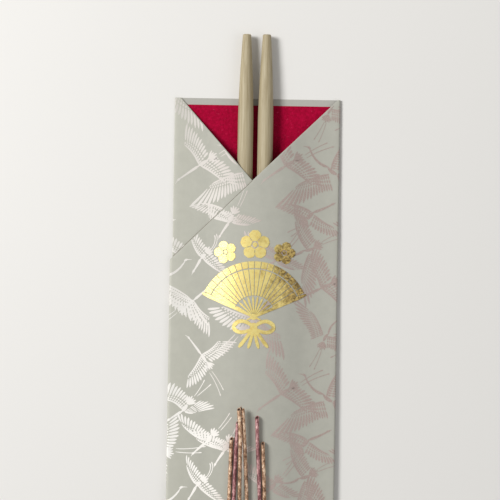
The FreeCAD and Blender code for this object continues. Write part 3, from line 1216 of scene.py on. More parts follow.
@dataclass(frozen=True)
class Wing:
    """A crane's wing: its arm from shoulder to tip, and its feathers' direction and length.

    `lay` gives a feather's direction in degrees and its length at the body, half way and at
    the tip. `slit` is left between two rows, and `least` is the shortest feather's share.
    """

    arm: tuple[Spot, Spot, Spot]
    lay: tuple[Spot, Spot, Spot]
    count: int
    root: float = 0.3
    slit: float = 0.2
    least: float = 0.06
    bow: float = 0.05
    widest: float = 1.5

    def place(self, share: float, reach: float) -> Spot:
        """A place `share` of the way along the arm and `reach` of the way down a feather."""
        angle, length = arc_at(*self.lay, share)
        return spot(arc_at(*self.arm, share), angle, self.root + length * reach)

    def gap(self, share: float, reach: float) -> float:
        """Measures how far apart two neighbouring feathers lie.

        Args:
            share: how far along the arm.
            reach: how far down the feathers.

        Returns:
            The distance square to them.
        """
        half = 0.5 / self.count
        a, b = self.place(share - half, reach), self.place(share + half, reach)
        way = math.radians(arc_at(*self.lay, share)[0])
        return abs(math.cos(way) * (b[1] - a[1]) - math.sin(way) * (b[0] - a[0]))

    def strokes(self) -> list[Stroke]:
        """Draws the arm, two rows of short feathers and one of long ones.

        Returns:
            Its strokes.
        """
        shoulder, wrist, tip = self.arm
        bend = tuple(2 * b - (a + c) / 2 for a, b, c in zip(shoulder, wrist, tip))
        made = [Stroke(shoulder, bend, tip, (1.0, 0.5), Nib.LINE, 3, 7)]
        for i in range(self.count):
            share = (i + 0.5) / self.count
            first, second = 0.27 - 0.15 * share, 0.52 - 0.34 * share
            length = arc_at(*self.lay, share)[1]
            slit = self.slit / length
            rows = ((0.02, first, 2, 0.86), (first + slit, second, 2, 0.84),
                    (second + slit, 1.0 - 0.05 * (i % 2), 5, 0.76))
            for start, end, faces, full in rows:
                if end - start < self.least:
                    continue
                a, c = self.place(share, start), self.place(share, end)
                middle = self.place(share, (start + end) / 2)
                turn = self.bow * (c[0] - a[0]), self.bow * (c[1] - a[1])
                wide = (max(0.3, self.gap(share, start) * full),
                        min(self.widest, max(0.34, self.gap(share, end) * full)))
                made.append(Stroke(a, (middle[0] - turn[1], middle[1] + turn[0]), c, wide,
                                   Nib.FEATHER, faces // 3, faces))
        return made


@dataclass(frozen=True)
class Crane:
    """A flying crane: neck from body to bill, two wings, the tail's root and two legs.

    `aim` is the way that the bill points, in degrees, and `petals` of a length `petal` fan out
    over `fan` degrees as the tail.
    """

    aim: float
    neck: tuple[Spot, Spot, Spot, Spot]
    wings: tuple[Wing, Wing]
    tail: Spot
    legs: tuple[tuple[Spot, Spot, Spot], tuple[Spot, Spot, Spot]]
    petals: int = 6
    petal: float = 4.0
    fan: float = 76.0

    def strokes(self) -> list[Stroke]:
        """Draws the crane.

        Returns:
            Its strokes.
        """
        base, bend, head, bill = self.neck
        made = [stroke for wing in self.wings for stroke in wing.strokes()]
        made.append(Stroke(base, bend, head, (1.35, 0.6), Nib.LINE, 4, 7))
        made.append(Stroke(spot(head, self.aim, -0.9), head, spot(head, self.aim, 0.9),
                           (1.15, 1.0), Nib.PETAL, 5, 4))
        made.append(Stroke(head, spot(head, self.aim, 0.8), bill, (0.6, 0.2), Nib.LINE, 4, 3))
        back = math.degrees(math.atan2(self.tail[1], self.tail[0]))
        root = spot((0, 0), back, 0.55 * math.hypot(*self.tail))
        made.append(Stroke(base, (0, 0), root, (1.4, 2.0), Nib.PETAL, 7, 6, 2))
        for i in range(self.petals):
            share = i / (self.petals - 1) - 0.5
            angle = back + self.fan * share
            far = self.petal * (1.0 - 0.22 * abs(share) + 0.12 * (i % 2))
            start = spot(root, angle, 0.5)
            made.append(Stroke(start, spot(start, angle + 6, far / 2), spot(start, angle, far),
                               (0.8, 0.95), Nib.PETAL, i, 5))
        for leg in self.legs:
            foot = math.degrees(math.atan2(leg[2][1] - leg[1][1], leg[2][0] - leg[1][0]))
            made.append(Stroke(*leg, (0.36, 0.34), Nib.LINE, 0, 7))
            made.append(Stroke(spot(leg[2], foot, -1.5), spot(leg[2], foot, -0.6),
                               spot(leg[2], foot, 0.3), (0.55, 0.6), Nib.PETAL, 1, 3))
        return made


class Pose(Enum):
    """The cranes that the print repeats."""

    SOARING = Crane(
        -142, ((-0.5, -0.4), (-5.0, -3.4), (-9.4, -6.6), (-11.0, -8.7)),
        (Wing(((-0.3, 0.2), (-3.2, 5.3), (-7.3, 9.2)), ((48, 6.0), (70, 8.0), (86, 9.9)), 11),
         Wing(((0.4, -0.3), (5.6, -3.3), (11.2, -7.8)), ((48, 5.8), (24, 7.6), (-14, 6.4)), 12)),
        (6.8, 4.2), (((8.6, 5.0), (13.4, 8.6), (18.6, 10.8)),
                     ((9.4, 3.8), (15.0, 7.4), (21.6, 9.2))),
    )
    GLIDING = Crane(
        144, ((-1.0, 1.9), (-6.6, 3.0), (-9.6, 10.4), (-12.4, 11.0)),
        (Wing(((-0.5, -1.5), (-8.0, -3.6), (-14.5, -6.6)), ((-74, 7.6), (-88, 8.4), (-138, 16.0)),
              16),
         Wing(((0.6, 0.9), (3.2, 8.0), (7.6, 14.0)), ((-8, 6.5), (2, 8.5), (42, 12.5)), 14)),
        (5.6, -2.6), (((8.0, -3.0), (13.2, -4.8), (19.5, -8.6)), ((7.6, -4.2), (12.0, -6.6),
                                                               (17.6, -11.2))),
        7, 4.6,
    )
    HOVERING = Crane(
        -120, ((-0.6, -0.7), (-2.0, -3.6), (-3.7, -6.2), (-4.6, -8.0)),
        (Wing(((-0.5, 0.3), (-3.1, 3.7), (-5.0, 8.4)), ((44, 4.4), (64, 5.2), (96, 5.4)), 10),
         Wing(((0.5, -0.5), (4.7, -4.1), (9.4, -7.0)), ((40, 4.2), (12, 4.8), (-24, 5.0)), 11)),
        (2.9, 2.8), (((3.9, 3.6), (6.4, 6.6), (5.6, 9.8)), ((4.5, 3.4), (7.6, 6.4), (6.4, 10.4))),
        5, 3.1,
    )
    BANKING = Crane(
        -137, ((-0.8, -0.6), (-3.6, -2.8), (-6.2, -5.4), (-7.3, -6.8)),
        (Wing(((-0.8, 0.5), (-6.4, 2.9), (-11.6, 7.2)), ((40, 4.2), (62, 5.0), (118, 6.2)), 14),
         Wing(((0.6, -0.7), (4.2, -2.7), (8.0, -3.8)), ((38, 4.6), (30, 5.4), (2, 6.0)), 9)),
        (3.4, 4.4), (((4.8, 5.8), (7.8, 9.4), (9.8, 13.0)), ((5.8, 5.2), (8.4, 8.0), (10.6, 11.2))),
        5, 3.4,
    )
    WHEELING = Crane(
        23, ((0.6, 0.4), (5.7, 2.2), (9.2, 4.3), (10.9, 5.1)),
        (Wing(((-0.5, 0.6), (-6.2, 3.0), (-11.8, 3.8)), ((-122, 4.6), (-138, 5.2), (-168, 5.6)),
              12),
         Wing(((0.8, -0.8), (5.2, -4.0), (9.8, -6.2)), ((-118, 4.6), (-88, 5.2), (-46, 5.4)), 11)),
        (-4.0, -5.0), (((-5.2, -6.2), (-7.6, -7.0), (-10.9, -8.8)), ((-4.6, -6.8), (-6.4, -8.6),
                                                                    (-9.3, -10.6))),
        6, 3.4,
    )
    RISING = Crane(
        -145, ((-0.8, -0.6), (-3.6, -2.3), (-6.4, -4.3), (-8.3, -6.4)),
        (Wing(((-0.5, 0.4), (-4.0, 3.4), (-8.6, 4.8)), ((40, 4.6), (52, 6.6), (78, 8.2)), 10),
         Wing(((0.6, -0.4), (2.4, -1.1), (4.6, -1.2)), ((36, 8.0), (28, 10.4), (12, 10.2)), 6)),
        (3.2, 4.4), (((4.8, 6.4), (7.4, 9.6), (9.3, 13.8)), ((6.0, 6.4), (9.4, 9.4), (12.2, 11.9))),
        6, 3.8,
    )


@dataclass(frozen=True)
class Flight:
    """A crane's place in the print's repeat: its body, where it flies and how large it is."""

    pose: Pose
    across: float
    down: float
    aim: float
    size: float = 1.0
    mirrored: bool = False

    def matrix(self, shift: Spot) -> Matrix:
        """Works out the way from the crane's own drawing to the flat sheet.

        Args:
            shift: how far whole repeats move it, along the sheet and down.

        Returns:
            The matrix.
        """
        turn = Matrix.Rotation(math.radians(self.aim), 4, "Z")
        flip = Matrix.Diagonal((1, -1 if self.mirrored else 1, 1, 1))
        back = Matrix.Rotation(math.radians(-self.pose.value.aim), 4, "Z")
        move = Matrix.Translation((self.across + shift[0], -self.down - shift[1], 0))
        return move @ turn @ flip @ Matrix.Scale(self.size, 4) @ back


FLOCK: tuple[Flight, ...] = (
    Flight(Pose.SOARING, 13.2, 30.3, -142),
    Flight(Pose.GLIDING, 33.3, 32.2, 144),
    Flight(Pose.WHEELING, 25.6, 51.4, 23),
    Flight(Pose.BANKING, -11.3, 55.6, -122),
    Flight(Pose.GLIDING, 23.8, 68.5, -162, 0.85),
    Flight(Pose.HOVERING, -23.8, 72.1, -120),
    Flight(Pose.BANKING, 9.4, 73.0, -137, 1.05),
    Flight(Pose.SOARING, 30.4, 85.0, -150),
    Flight(Pose.GLIDING, -42.1, 82.4, 28, 1.0, True),
    Flight(Pose.SOARING, -27.5, 91.8, 45, 0.9),
    Flight(Pose.SOARING, 0.9, 99.0, 55, 1.15),
    Flight(Pose.GLIDING, 32.5, 106.6, 60, 0.75),
    Flight(Pose.SOARING, -23.2, 116.2, 131, 0.85),
    Flight(Pose.RISING, -30.7, 38.6, -145),
    Flight(Pose.BANKING, -19.6, 52.4, -137),
    Flight(Pose.SOARING, -43.9, 57.4, 172, 1.0, True),
    Flight(Pose.HOVERING, 50.6, 58.0, -60, 1.1),
    Flight(Pose.BANKING, 57.0, 88.0, 150, 1.0, True),
    Flight(Pose.RISING, 50.0, 108.0, 20, 1.0),
)


@dataclass(frozen=True)
class Folded:
    """Where a place on the flat sheet's printed side comes to lie once the sheet is folded.

    `along` runs from the over flap's middle to the right, round to the back, and on round the
    left fold to the under flap; towards the left it runs round to the side tab.
    """

    shape: SleeveShape
    fold_cuts: int = 6

    @cached_property
    def mid(self) -> float:
        """Height of the back panel's middle."""
        return self.shape.paper / 2

    @cached_property
    def under(self) -> float:
        """Height of the under flap's middle at its sides."""
        return self.shape.under_ply + self.mid

    @cached_property
    def over(self) -> float:
        """Height of the over flap's middle at its sides."""
        return self.shape.over_ply + self.mid

    @cached_property
    def right_turn(self) -> Spot:
        """Where the right fold starts and ends."""
        return self.shape.half, self.shape.half + math.pi * (self.over - self.mid) / 2

    @cached_property
    def left_turn(self) -> Spot:
        """Where the left fold starts and ends."""
        start = self.right_turn[1] + 2 * self.shape.half
        return start, start + math.pi * (self.under - self.mid) / 2

    @cached_property
    def wrap_turn(self) -> Spot:
        """Where the fold to the side tab ends and starts."""
        start = self.shape.left_fold
        return start - math.pi * (self.over + self.mid) / 2, start

    @cached_property
    def bottom_turn(self) -> Spot:
        """Where the bottom fold starts and ends, down the sheet."""
        return self.shape.bottom, self.shape.bottom + math.pi * (self.over + self.mid) / 2

    def paper_lift(self, across: float, down: float) -> float:
        """How far the paper's flat faces stand over the sides, between their corners.

        Args:
            across: a place across the front.
            down: how far from the top edge.

        Returns:
            The height over the sides.
        """
        s = self.shape
        wide, long = 2 * s.half / s.columns, s.bottom / s.rows
        column, row = (s.half - across) / wide, down / long
        i, j = math.floor(column), math.floor(row)
        a, b = column - i, row - j

        def corner(m: int, n: int) -> float:
            """How far a corner of the faces stands over the sides."""
            return s.lift(s.half - m * wide, max(0.0, n * long))

        near = corner(i, j) * (1 - a) + corner(i + 1, j) * a
        far = corner(i, j + 1) * (1 - a) + corner(i + 1, j + 1) * a
        return near * (1 - b) + far * b

    def bend(self, start: float, end: float, run: float, high: float) -> Spot:
        """A place round a fold.

        Args:
            start: height of the ply that the fold leaves.
            end: height of the ply that it leads to.
            run: how far round the fold, along the paper's middle.
            high: height over the paper's middle.

        Returns:
            How far the place stands out, and its height.
        """
        radius = abs(start - end) / 2
        angle, reach = min(math.pi, run / radius), radius + high
        rise = math.copysign(reach, start - end) * math.cos(angle)
        return reach * math.sin(angle), (start + end) / 2 + rise

    def place(self, along: float, down: float, off: float) -> Vector:
        """A place over the folded sheet.

        Args:
            along: along the flat sheet, from the over flap's middle.
            down: down from the top edge.
            off: height over the printed side.

        Returns:
            The place.
        """
        s, high = self.shape, self.shape.drawn / 2 + off
        if down > s.bottom:
            out, height = self.bend(self.over, -self.mid, down - s.bottom, high)
            past = max(0.0, down - self.bottom_turn[1])
            return Vector((along, past - s.bottom - out, height))
        if along < self.wrap_turn[1]:
            out, height = self.bend(self.over, -self.mid, self.wrap_turn[1] - along, high)
            past = max(0.0, self.wrap_turn[0] - along)
            return Vector((self.wrap_turn[1] - out + past, -down, height))
        if along > self.left_turn[1]:
            return self.on_front(along - self.left_turn[1] - s.half, down, self.under, high)
        if along > self.left_turn[0]:
            out, height = self.bend(self.mid, self.under, along - self.left_turn[0], high)
            return Vector((-s.half - out, -down, height))
        if along > self.right_turn[1]:
            return Vector((s.half - (along - self.right_turn[1]), -down, self.mid - high))
        if along > self.right_turn[0]:
            out, height = self.bend(self.over, self.mid, along - self.right_turn[0], high)
            return Vector((s.half + out, -down, height))
        return self.on_front(along, down, self.over, high)

    def on_front(self, across: float, down: float, layer: float, high: float) -> Vector:
        """A place over one of the front's two flaps.

        Args:
            across: a place across the front.
            down: how far from the top edge.
            layer: height of the flap's middle at its sides.
            high: height over the paper's middle.

        Returns:
            The place.
        """
        near, far = (self.paper_lift(across + side, down) for side in (-0.4, 0.4))
        slope = (far - near) / 0.8
        lift = self.paper_lift(across, down)
        return Vector((across, -down, layer + lift + high * math.sqrt(1 + slope**2)))

    def wrap(self, piece: bpy.types.Object, off: float, thick: float) -> None:
        """Lays a flat piece on the folded sheet and gives it its thickness.

        Args:
            piece: the piece, drawn on the flat sheet.
            off: height of its underside over the paper.
            thick: its thickness.
        """
        edit(piece)
        for start, end in (self.right_turn, self.left_turn, self.wrap_turn):
            for i in range(self.fold_cuts + 1):
                bpy.ops.mesh.select_all(action="SELECT")
                cut((start + (end - start) * i / self.fold_cuts, 0, 0), (1, 0, 0))
        leave()
        for vertex in piece.data.vertices:
            p = vertex.co
            vertex.co = self.place(p.x, -p.y, off + p.z)
        piece.data.update()
        finish_with(piece, "SOLIDIFY", thickness=thick, offset=1, use_even_offset=False)


@dataclass(frozen=True)
class Panel:
    """A convex part of the flat sheet: the sides that the print is cut off along."""

    name: str
    low: Spot
    high: Spot
    sides: tuple[tuple[Spot, Spot], ...] = ()

    def trim(self, piece: bpy.types.Object) -> None:
        """Cuts off what lies outside.

        Args:
            piece: a flat piece that covers the panel.
        """
        (left, top), (right, bottom) = self.low, self.high
        edges = (((left, 0), (-1, 0)), ((right, 0), (1, 0)), ((0, top), (0, -1)),
                 ((0, bottom), (0, 1)), *self.sides)
        edit(piece)
        for (across, down), (out_across, out_down) in edges:
            bpy.ops.mesh.select_all(action="SELECT")
            cut((across, -down, 0), (out_across, -out_down, 0), drop=True)
        leave()

    def near(self, along: float, down: float, reach: float) -> bool:
        """Whether a crane of some reach that flies there may come over the panel."""
        return (self.low[0] - reach < along < self.high[0] + reach
                and self.low[1] - reach < down < self.high[1] + reach)


@dataclass
class CranePrint:
    """The flock printed all over the sheet, in pearly ink.

    `edge` and `hair` are the bare strips left along slanted edges and at other ends, and
    `table_clear` is how far below the top edge the back is free of the table.
    """

    folded: Folded
    brush: Brush
    repeat_down: Spot = (-0.4, 102.7)
    repeat_along: Spot = (111.7, 0.1)
    repeats: int = 2
    reach: float = 27.0
    off: float = 0.012
    thick: float = 0.02
    layer: float = 0.003
    layers: int = 5
    edge: float = 0.35
    hair: float = 0.3
    tab_hair: float = 0.5
    tab_end: float = 0.4
    corner_hair: float = 0.2
    under_hair: float = 0.1
    under_tuck: float = 1.0
    back_start: float = 0.6
    table_clear: float = 5.6
    split: float = 122.0

    def panels(self) -> list[Panel]:
        """The parts of the sheet whose print shows, one piece of print each.

        Returns:
            The panels.
        """
        s, f = self.folded.shape, self.folded
        wrap_end, wrap = f.wrap_turn
        right, left = f.right_turn[1] - self.back_start, f.left_turn[0] + self.edge
        flap = f.left_turn[1] + s.half
        under_tab = f.right_turn[1] + 2 * s.half - s.tab - self.hair
        tab_top, tab_reach = s.over_edge(wrap), s.wrap_out + s.tab
        tab_out = wrap_end - tab_reach + self.tab_hair
        fold_end = f.bottom_turn[1]
        corner = s.half - s.bottom_inset - self.corner_hair
        over = ((s.half, self.edge), (-s.over_slope, -1.0))
        bottom_ends = tuple(((side * corner, fold_end), (side * s.tab, s.tab_slant))
                            for side in (-1, 1))
        side_ends = (((wrap_end, tab_top + self.tab_end), (-s.tab_slant, -tab_reach)),
                     ((wrap_end, s.bottom - self.tab_end), (-s.tab_slant_low, tab_reach)))
        under_ends = (((flap + s.corner - s.half, self.edge), (s.under_slope, -1.0)),
                      ((flap + s.half, self.under_hair), (s.over_slope, 1.0)))
        return [
            Panel("crane_print_front_top", (wrap_end, 0), (right, self.split), (over,)),
            Panel("crane_print_front_low", (wrap_end, self.split), (right, s.bottom)),
            Panel("crane_print_bottom_tab", (-s.half, s.bottom),
                  (s.half, fold_end + s.tab - self.hair), bottom_ends),
            Panel("crane_print_side_tab", (tab_out, tab_top), (wrap_end, s.bottom), side_ends),
            Panel("crane_print_back", (right, self.table_clear),
                  (under_tab, s.bottom - s.tab - self.tab_hair)),
            Panel("crane_print_back_top", (under_tab, self.table_clear), (left, tab_top)),
            Panel("crane_print_under_flap", (left, self.hair),
                  (flap + self.under_tuck, s.bottom), under_ends),
        ]

    def flying(self, panel: Panel, drawn: dict[Pose, bpy.types.Object]) -> list[bpy.types.Object]:
        """The cranes that come over a panel, in their places on the flat sheet.

        Args:
            panel: the part of the sheet.
            drawn: each pose's drawing.

        Returns:
            A copy of a drawing for each crane.
        """
        birds = []
        span = range(-self.repeats, self.repeats + 1)
        for (count, flight), m, n in product(enumerate(FLOCK), span, span):
            shift = (m * self.repeat_along[0] + n * self.repeat_down[0],
                     m * self.repeat_along[1] + n * self.repeat_down[1])
            if not panel.near(flight.across + shift[0], flight.down + shift[1], self.reach):
                continue
            bird = copied(drawn[flight.pose])
            height = Matrix.Translation((0, 0, self.layer * (count % self.layers)))
            bird.data.transform(height @ flight.matrix(shift))
            if flight.mirrored:
                bird.data.flip_normals()
            birds.append(bird)
        return birds

    def build(self, lie: Lie, ink: bpy.types.Material) -> list[bpy.types.Object]:
        """Prints every panel.

        Args:
            lie: how the sleeve lies.
            ink: the print's material.

        Returns:
            One piece for each panel.
        """
        drawn = {pose: self.brush.all_of("crane_" + pose.name.lower(), pose.value.strokes())
                 for pose in Pose}
        made = []
        for panel in self.panels():
            piece = joined(panel.name, self.flying(panel, drawn))
            panel.trim(piece)
            self.folded.wrap(piece, self.off, self.thick)
            piece.data.materials.append(ink)
            made.append(lie.settle(piece))
        for piece in drawn.values():
            bpy.data.objects.remove(piece)
        return made


@dataclass
class FanCrest:
    """The gold foil ornament on the front: an open fan, plum blossoms over it, a bow under it.

    `inner`, `leaf` and `rim` are the fan's radii, `spread` its half angle in degrees; each
    blossom has its middle, its size and the way of one petal.
    """

    folded: Folded
    brush: Brush
    down: float = 86.0
    pivot: float = -12.5
    inner: float = 9.6
    leaf: float = 21.4
    rim: float = 25.0
    spread: float = 64.0
    blades: int = 18
    border: float = 0.5
    pleat: float = 0.3
    guard: float = 2.2
    bow_down: float = 4.6
    blossoms: tuple[tuple[Spot, float, float], ...] = (
        ((0, 19.9), 6.6, 90), ((-13.2, 16.4), 5.0, 108), ((13.2, 16.4), 5.0, 72),
    )
    off: float = 0.075
    thick: float = 0.1

    def fan(self) -> list[Stroke]:
        """Draws the fan's pleated leaf with its border, its ribs and the two guards.

        Returns:
            Its strokes.
        """
        hub, made = (0.0, self.pivot), []
        step = 2 * self.spread / self.blades
        half = math.tan(math.radians(step / 2))
        for i in range(self.blades):
            angle = 90 - self.spread + step * (i + 0.5)
            for start, end, rows in ((self.inner, self.leaf, 9),
                                     (self.leaf + self.border, self.rim, 3)):
                a, c = spot(hub, angle, start), spot(hub, angle, end)
                wide = (2 * start * half - self.pleat, 2 * end * half - self.pleat)
                made.append(Stroke(a, spot(hub, angle, (start + end) / 2), c, wide, Nib.PLATE, 0,
                                   rows, 2))
            if i % 2:
                made.append(Stroke(spot(hub, angle, 1.5), spot(hub, angle, 5.0),
                                   spot(hub, angle, self.inner - 0.4), (0.5, 1.0), Nib.LINE, 1, 6))
        for side in (-1, 1):
            angle = 90 + side * (self.spread + self.guard)
            made.append(Stroke(spot(hub, angle, -3.4), spot(hub, angle, 11.0),
                               spot(hub, angle, self.rim + 0.6), (1.1, 1.7), Nib.LINE, 2, 18))
        made.append(Stroke((0, self.pivot - 1.4), hub, (0, self.pivot + 1.4), (2.8, 2.8),
                           Nib.PETAL, 4, 5, 3))
        return made

    def blossom(self, middle: Spot, size: float, turn: float) -> list[Stroke]:
        """Draws a plum blossom: five round petals and a heart.

        Args:
            middle: its middle.
            size: from the middle to a petal's end.
            turn: the direction of one petal in degrees.

        Returns:
            Its strokes.
        """
        made = []
        for i in range(5):
            angle = turn + 72 * i
            made.append(Stroke(spot(middle, angle, 0.24 * size), spot(middle, angle, 0.6 * size),
                               spot(middle, angle, size), (0.84 * size,) * 2, Nib.PETAL, i, 6, 4))
        made.append(Stroke(spot(middle, turn, -0.17 * size), middle,
                           spot(middle, turn, 0.17 * size), (0.36 * size,) * 2, Nib.PETAL, 6, 4, 2))
        return made

    def bow(self) -> list[Stroke]:
        """Draws the bow: two loops, four ends and the knot.

        Returns:
            Its strokes.
        """
        low, made = self.pivot - self.bow_down, []
        for side in (-1, 1):
            made += [
                Stroke((0, low), (side * 6.2, low + 5.4), (side * 9.4, low - 0.2), (1.5, 1.9),
                       Nib.LINE, 1, 9),
                Stroke((side * 9.4, low + 0.4), (side * 7.6, low - 4.6), (0, low - 0.6), (1.9, 1.5),
                       Nib.LINE, 2, 9),
                Stroke((0, low), (side * 2.6, low - 4.2), (side * 6.6, low - 9.2), (1.3, 1.7),
                       Nib.LINE, 3, 9),
                Stroke((0, low), (side * 0.7, low - 4.4), (side * 2.4, low - 9.6), (1.3, 1.5),
                       Nib.LINE, 4, 8),
            ]
        made.append(Stroke((0, low + 1.9), (0, low), (0, low - 1.9), (3.4, 3.4), Nib.PETAL, 6,
                           5, 3))
        return made

    def build(self, lie: Lie, foil: bpy.types.Material) -> bpy.types.Object:
        """Stamps the ornament on the front.

        Args:
            lie: how the sleeve lies.
            foil: its material.

        Returns:
            The piece.
        """
        flowers = [stroke for told in self.blossoms for stroke in self.blossom(*told)]
        strokes = self.fan() + flowers + self.bow()
        piece = self.brush.all_of("gold_fan_crest", strokes)
        piece.data.transform(Matrix.Translation((0, -self.down, 0)))
        self.folded.wrap(piece, self.off, self.thick)
        finish_with(piece, "BEVEL", width=0.03, segments=1, angle_limit=math.radians(60))
        piece.data.materials.append(foil)
        smooth(piece, 35)
        return lie.settle(piece)


# ------------------------------------------------------------------ the cords
# One half of the flat knot: across and up from its middle, and the layer, 0 on the paper and 1
# over another run. The other half is the same, mirrored, with the layers changed about.
KNOT_HALF: tuple[Spot3, ...] = (
    (-10.5, 16.2, 1.0), (-11.8, 6.8, 1.0), (-10.8, 2.6, 0.0), (-5.6, -2.6, 0.0),
    (-2.6, -5.6, 1.0), (2.6, -10.8, 1.0), (6.2, -11.9, 0.0), (15.4, -10.6, 0.0),
    (19.4, -6.8, 0.3), (20.8, 0.0, 0.5), (19.4, 6.8, 0.7), (16.3, 10.5, 1.1),
    (6.4, 11.9, 1.0), (2.6, 10.8, 0.0), (-2.6, 5.6, 0.0), (-5.6, 2.6, 1.0),
    (-10.8, -2.6, 1.0), (-11.8, -7.0, 0.0), (-10.5, -16.3, 0.0), (-3.6, -19.2, 1.0),
    (4.3, -25.3, 1.1), (14.5, -26.4, 0.0),
)


@dataclass(frozen=True)
class Tails:
    """A cord's two free ends, from each tip to the knot or back.

    A point is across and up from the knot's middle, and its height over the seat.
    """

    left: tuple[Spot3, ...]
    right: tuple[Spot3, ...]


@dataclass(frozen=True)
class Wrap:
    """The strip of foil wound round a cord, in millimetres.

    It goes round once in `wind` and overlaps itself over a share `lap` of the turn, where it
    stands out by up to `overlap`. It lies `sunk` under the cord's full size. `crease` and
    `fine` are the depths of its large and small creases; `finer` and `stretch` their scales.
    """

    wind: float = 1.5
    overlap: float = 0.035
    lap: float = 0.14
    sunk: float = 0.05
    crease: float = 0.055
    fine: float = 0.03
    stretch: float = 1.3
    finer: float = 2.3

    def radius(self, full: float, run: float, angle: float, cut: float, share: float) -> float:
        """The wrap's radius at a place.

        Args:
            full: the cord's own radius.
            run: how far along the cord.
            angle: how far round it.
            cut: which part of the noise makes the creases.
            share: how deep the creases are.

        Returns:
            The radius there, no more than the cord's own.
        """
        turn = (angle / (2 * math.pi) - run / self.wind) % 1.0
        wide = 1 - self.lap
        over = self.overlap * (turn if turn < wide else (1 - turn) / self.lap * wide)
        at = Vector((run * 1.1, math.cos(angle) * self.stretch,
                     math.sin(angle) * self.stretch + cut))
        crease = noise.noise(at) * self.crease + noise.noise(at * self.finer) * self.fine
        return min(full, full - self.sunk + over + crease * share)


@dataclass
class Cord:
    """One of the three cords: round the sleeve, through the flat knot and up to two tips.

    `side` is its place among the three, `right_in` and `left_in` are where it comes off the
    front: how far in from the band's edge, and across. `shiny` and `dull` are the creases'
    depth in foil with more and with less metal, and `slant` is how the tips are cut.
    `tip_steps` are each step's size and its way out along the cord.
    """

    name: str
    side: int
    tails: Tails
    foil: CordFoil
    shape: SleeveShape
    sizes: CordSizes
    wrap: Wrap = Wrap()
    right_in: Spot = (3.6, 26.0)
    left_in: Spot = (3.8, -27.0)
    around: int = 14
    ring_gap: float = 0.26
    noise_apart: float = 9.0
    shiny: float = 1.3
    dull: float = 0.6
    tip_reach: float = 2.0
    slant: Spot = (0.35, 1.1)
    tip_steps: tuple[Spot, ...] = ((0.72, 0.0), (0.66, -0.45), (0.2, 0.05))

    def beside(self) -> list[Spot3]:
        """Moves the knot's half sideways to this cord's place among the three.

        Returns:
            The points, with their layers.
        """
        plan = [Vector((x, y, 0)) for x, y, _ in KNOT_HALF]
        ways = [(b - a).normalized() for a, b in zip(plan, plan[1:])]
        lefts = [Vector((-w.y, w.x, 0)) for w in ways]
        moved = []
        for i, (point, (_, _, layer)) in enumerate(zip(plan, KNOT_HALF)):
            before, after = lefts[max(i - 1, 0)], lefts[min(i, len(lefts) - 1)]
            step = (before + after) * (self.side * self.sizes.pitch / (1 + before.dot(after)))
            moved.append((point.x + step.x, point.y + step.y, layer))
        return moved

    def over(self, across: float, down: float, height: float) -> Vector:
        """A point of the cord's middle over the front."""
        front = self.shape.front + self.shape.lift(across, down)
        return Vector((across, -down, front + self.sizes.thick / 2 + height))

    def route(self) -> list[Vector]:
        """Lays the given points out over the sleeve.

        Returns:
            The points, from the left tip round the sleeve to the right tip.
        """
        left = self.beside()
        right = [(-x, y, max(0.0, 1.0 - layer)) for x, y, layer in reversed(left)]
        right[0] = (*right[0][:2], 0.0)
        s, c = self.shape, self.sizes
        across, middle = c.knot
        down = middle + c.band_down - self.side * c.pitch
        top, low = s.front + c.out, -s.paper - c.out

        def run(points: Iterable[Spot3], rise: float) -> list[Vector]:
            """The knot's or a tail's points over the front, a layer being `rise` high."""
            return [self.over(across + x, middle - y, c.seat + z * rise) for x, y, z in points]

        def round_side(side: float, inner: float) -> list[Vector]:
            """The four points round one side of the sleeve, from the front to the back."""
            return [Vector((inner, -down, top)), Vector((side, -down, top)),
                    Vector((side, -down, low)), Vector((inner, -down, low))]

        right_edge, left_edge = s.right_side + c.out, s.left_side - c.out
        return (run(self.tails.left, 1) + run(left, c.lift)
                + [self.over(self.right_in[1], down, c.seat)]
                + round_side(right_edge, right_edge - self.right_in[0])
                + round_side(left_edge, left_edge + self.left_in[0])[::-1]
                + [self.over(self.left_in[1], down, c.seat)]
                + run(right, c.lift) + run(self.tails.right, 1))

    def line(self) -> list[Vector]:
        """Reads points from the smooth line through the route.

        Returns:
            The points, unevenly spaced.
        """
        curve = bpy.data.curves.new(self.name + "_line", "CURVE")
        curve.dimensions = "3D"
        curve.resolution_u = 24
        run = curve.splines.new("NURBS")
        points = self.route()
        run.points.add(len(points) - 1)
        for knot, place in zip(run.points, points):
            knot.co = (*place, 1.0)
        run.order_u = 3
        run.use_endpoint_u = True
        holder = bpy.data.objects.new(self.name + "_line", curve)
        bpy.context.collection.objects.link(holder)
        read = bpy.data.meshes.new_from_object(holder)
        places = [v.co.copy() for v in read.vertices]
        bpy.data.objects.remove(holder)
        bpy.data.curves.remove(curve)
        bpy.data.meshes.remove(read)
        return places

    def skin(self, places: Sequence[Vector]) -> bpy.types.Mesh:
        """Makes the foil's tube, open at both ends.

        Args:
            places: evenly spaced points of the cord's middle.

        Returns:
            The mesh: a ring of corners round each point.
        """
        corners, full = [], self.sizes.thick / 2
        share = self.shiny if self.foil.metal > 0.5 else self.dull
        up, run = Vector((0.3, 0.2, 1.0)), 0.0
        last = len(places) - 1
        for i, place in enumerate(places):
            way = (places[min(i + 1, last)] - places[max(i - 1, 0)]).normalized()
            up = (up - way * up.dot(way)).normalized()
            side = way.cross(up)
            run += (place - places[i - 1]).length if i else 0.0
            for k in range(self.around):
                angle = 2 * math.pi * k / self.around
                out = up * math.cos(angle) + side * math.sin(angle)
                corners.append(place + out * self.wrap.radius(
                    full, run, angle, self.side * self.noise_apart, share))
        faces = []
        for i, k in product(range(last), range(self.around)):
            a, b = i * self.around + k, i * self.around + (k + 1) % self.around
            faces.append((a, b, b + self.around, a + self.around))
        mesh = bpy.data.meshes.new(self.name + "_foil")
        mesh.from_pydata(corners, [], faces)
        return mesh

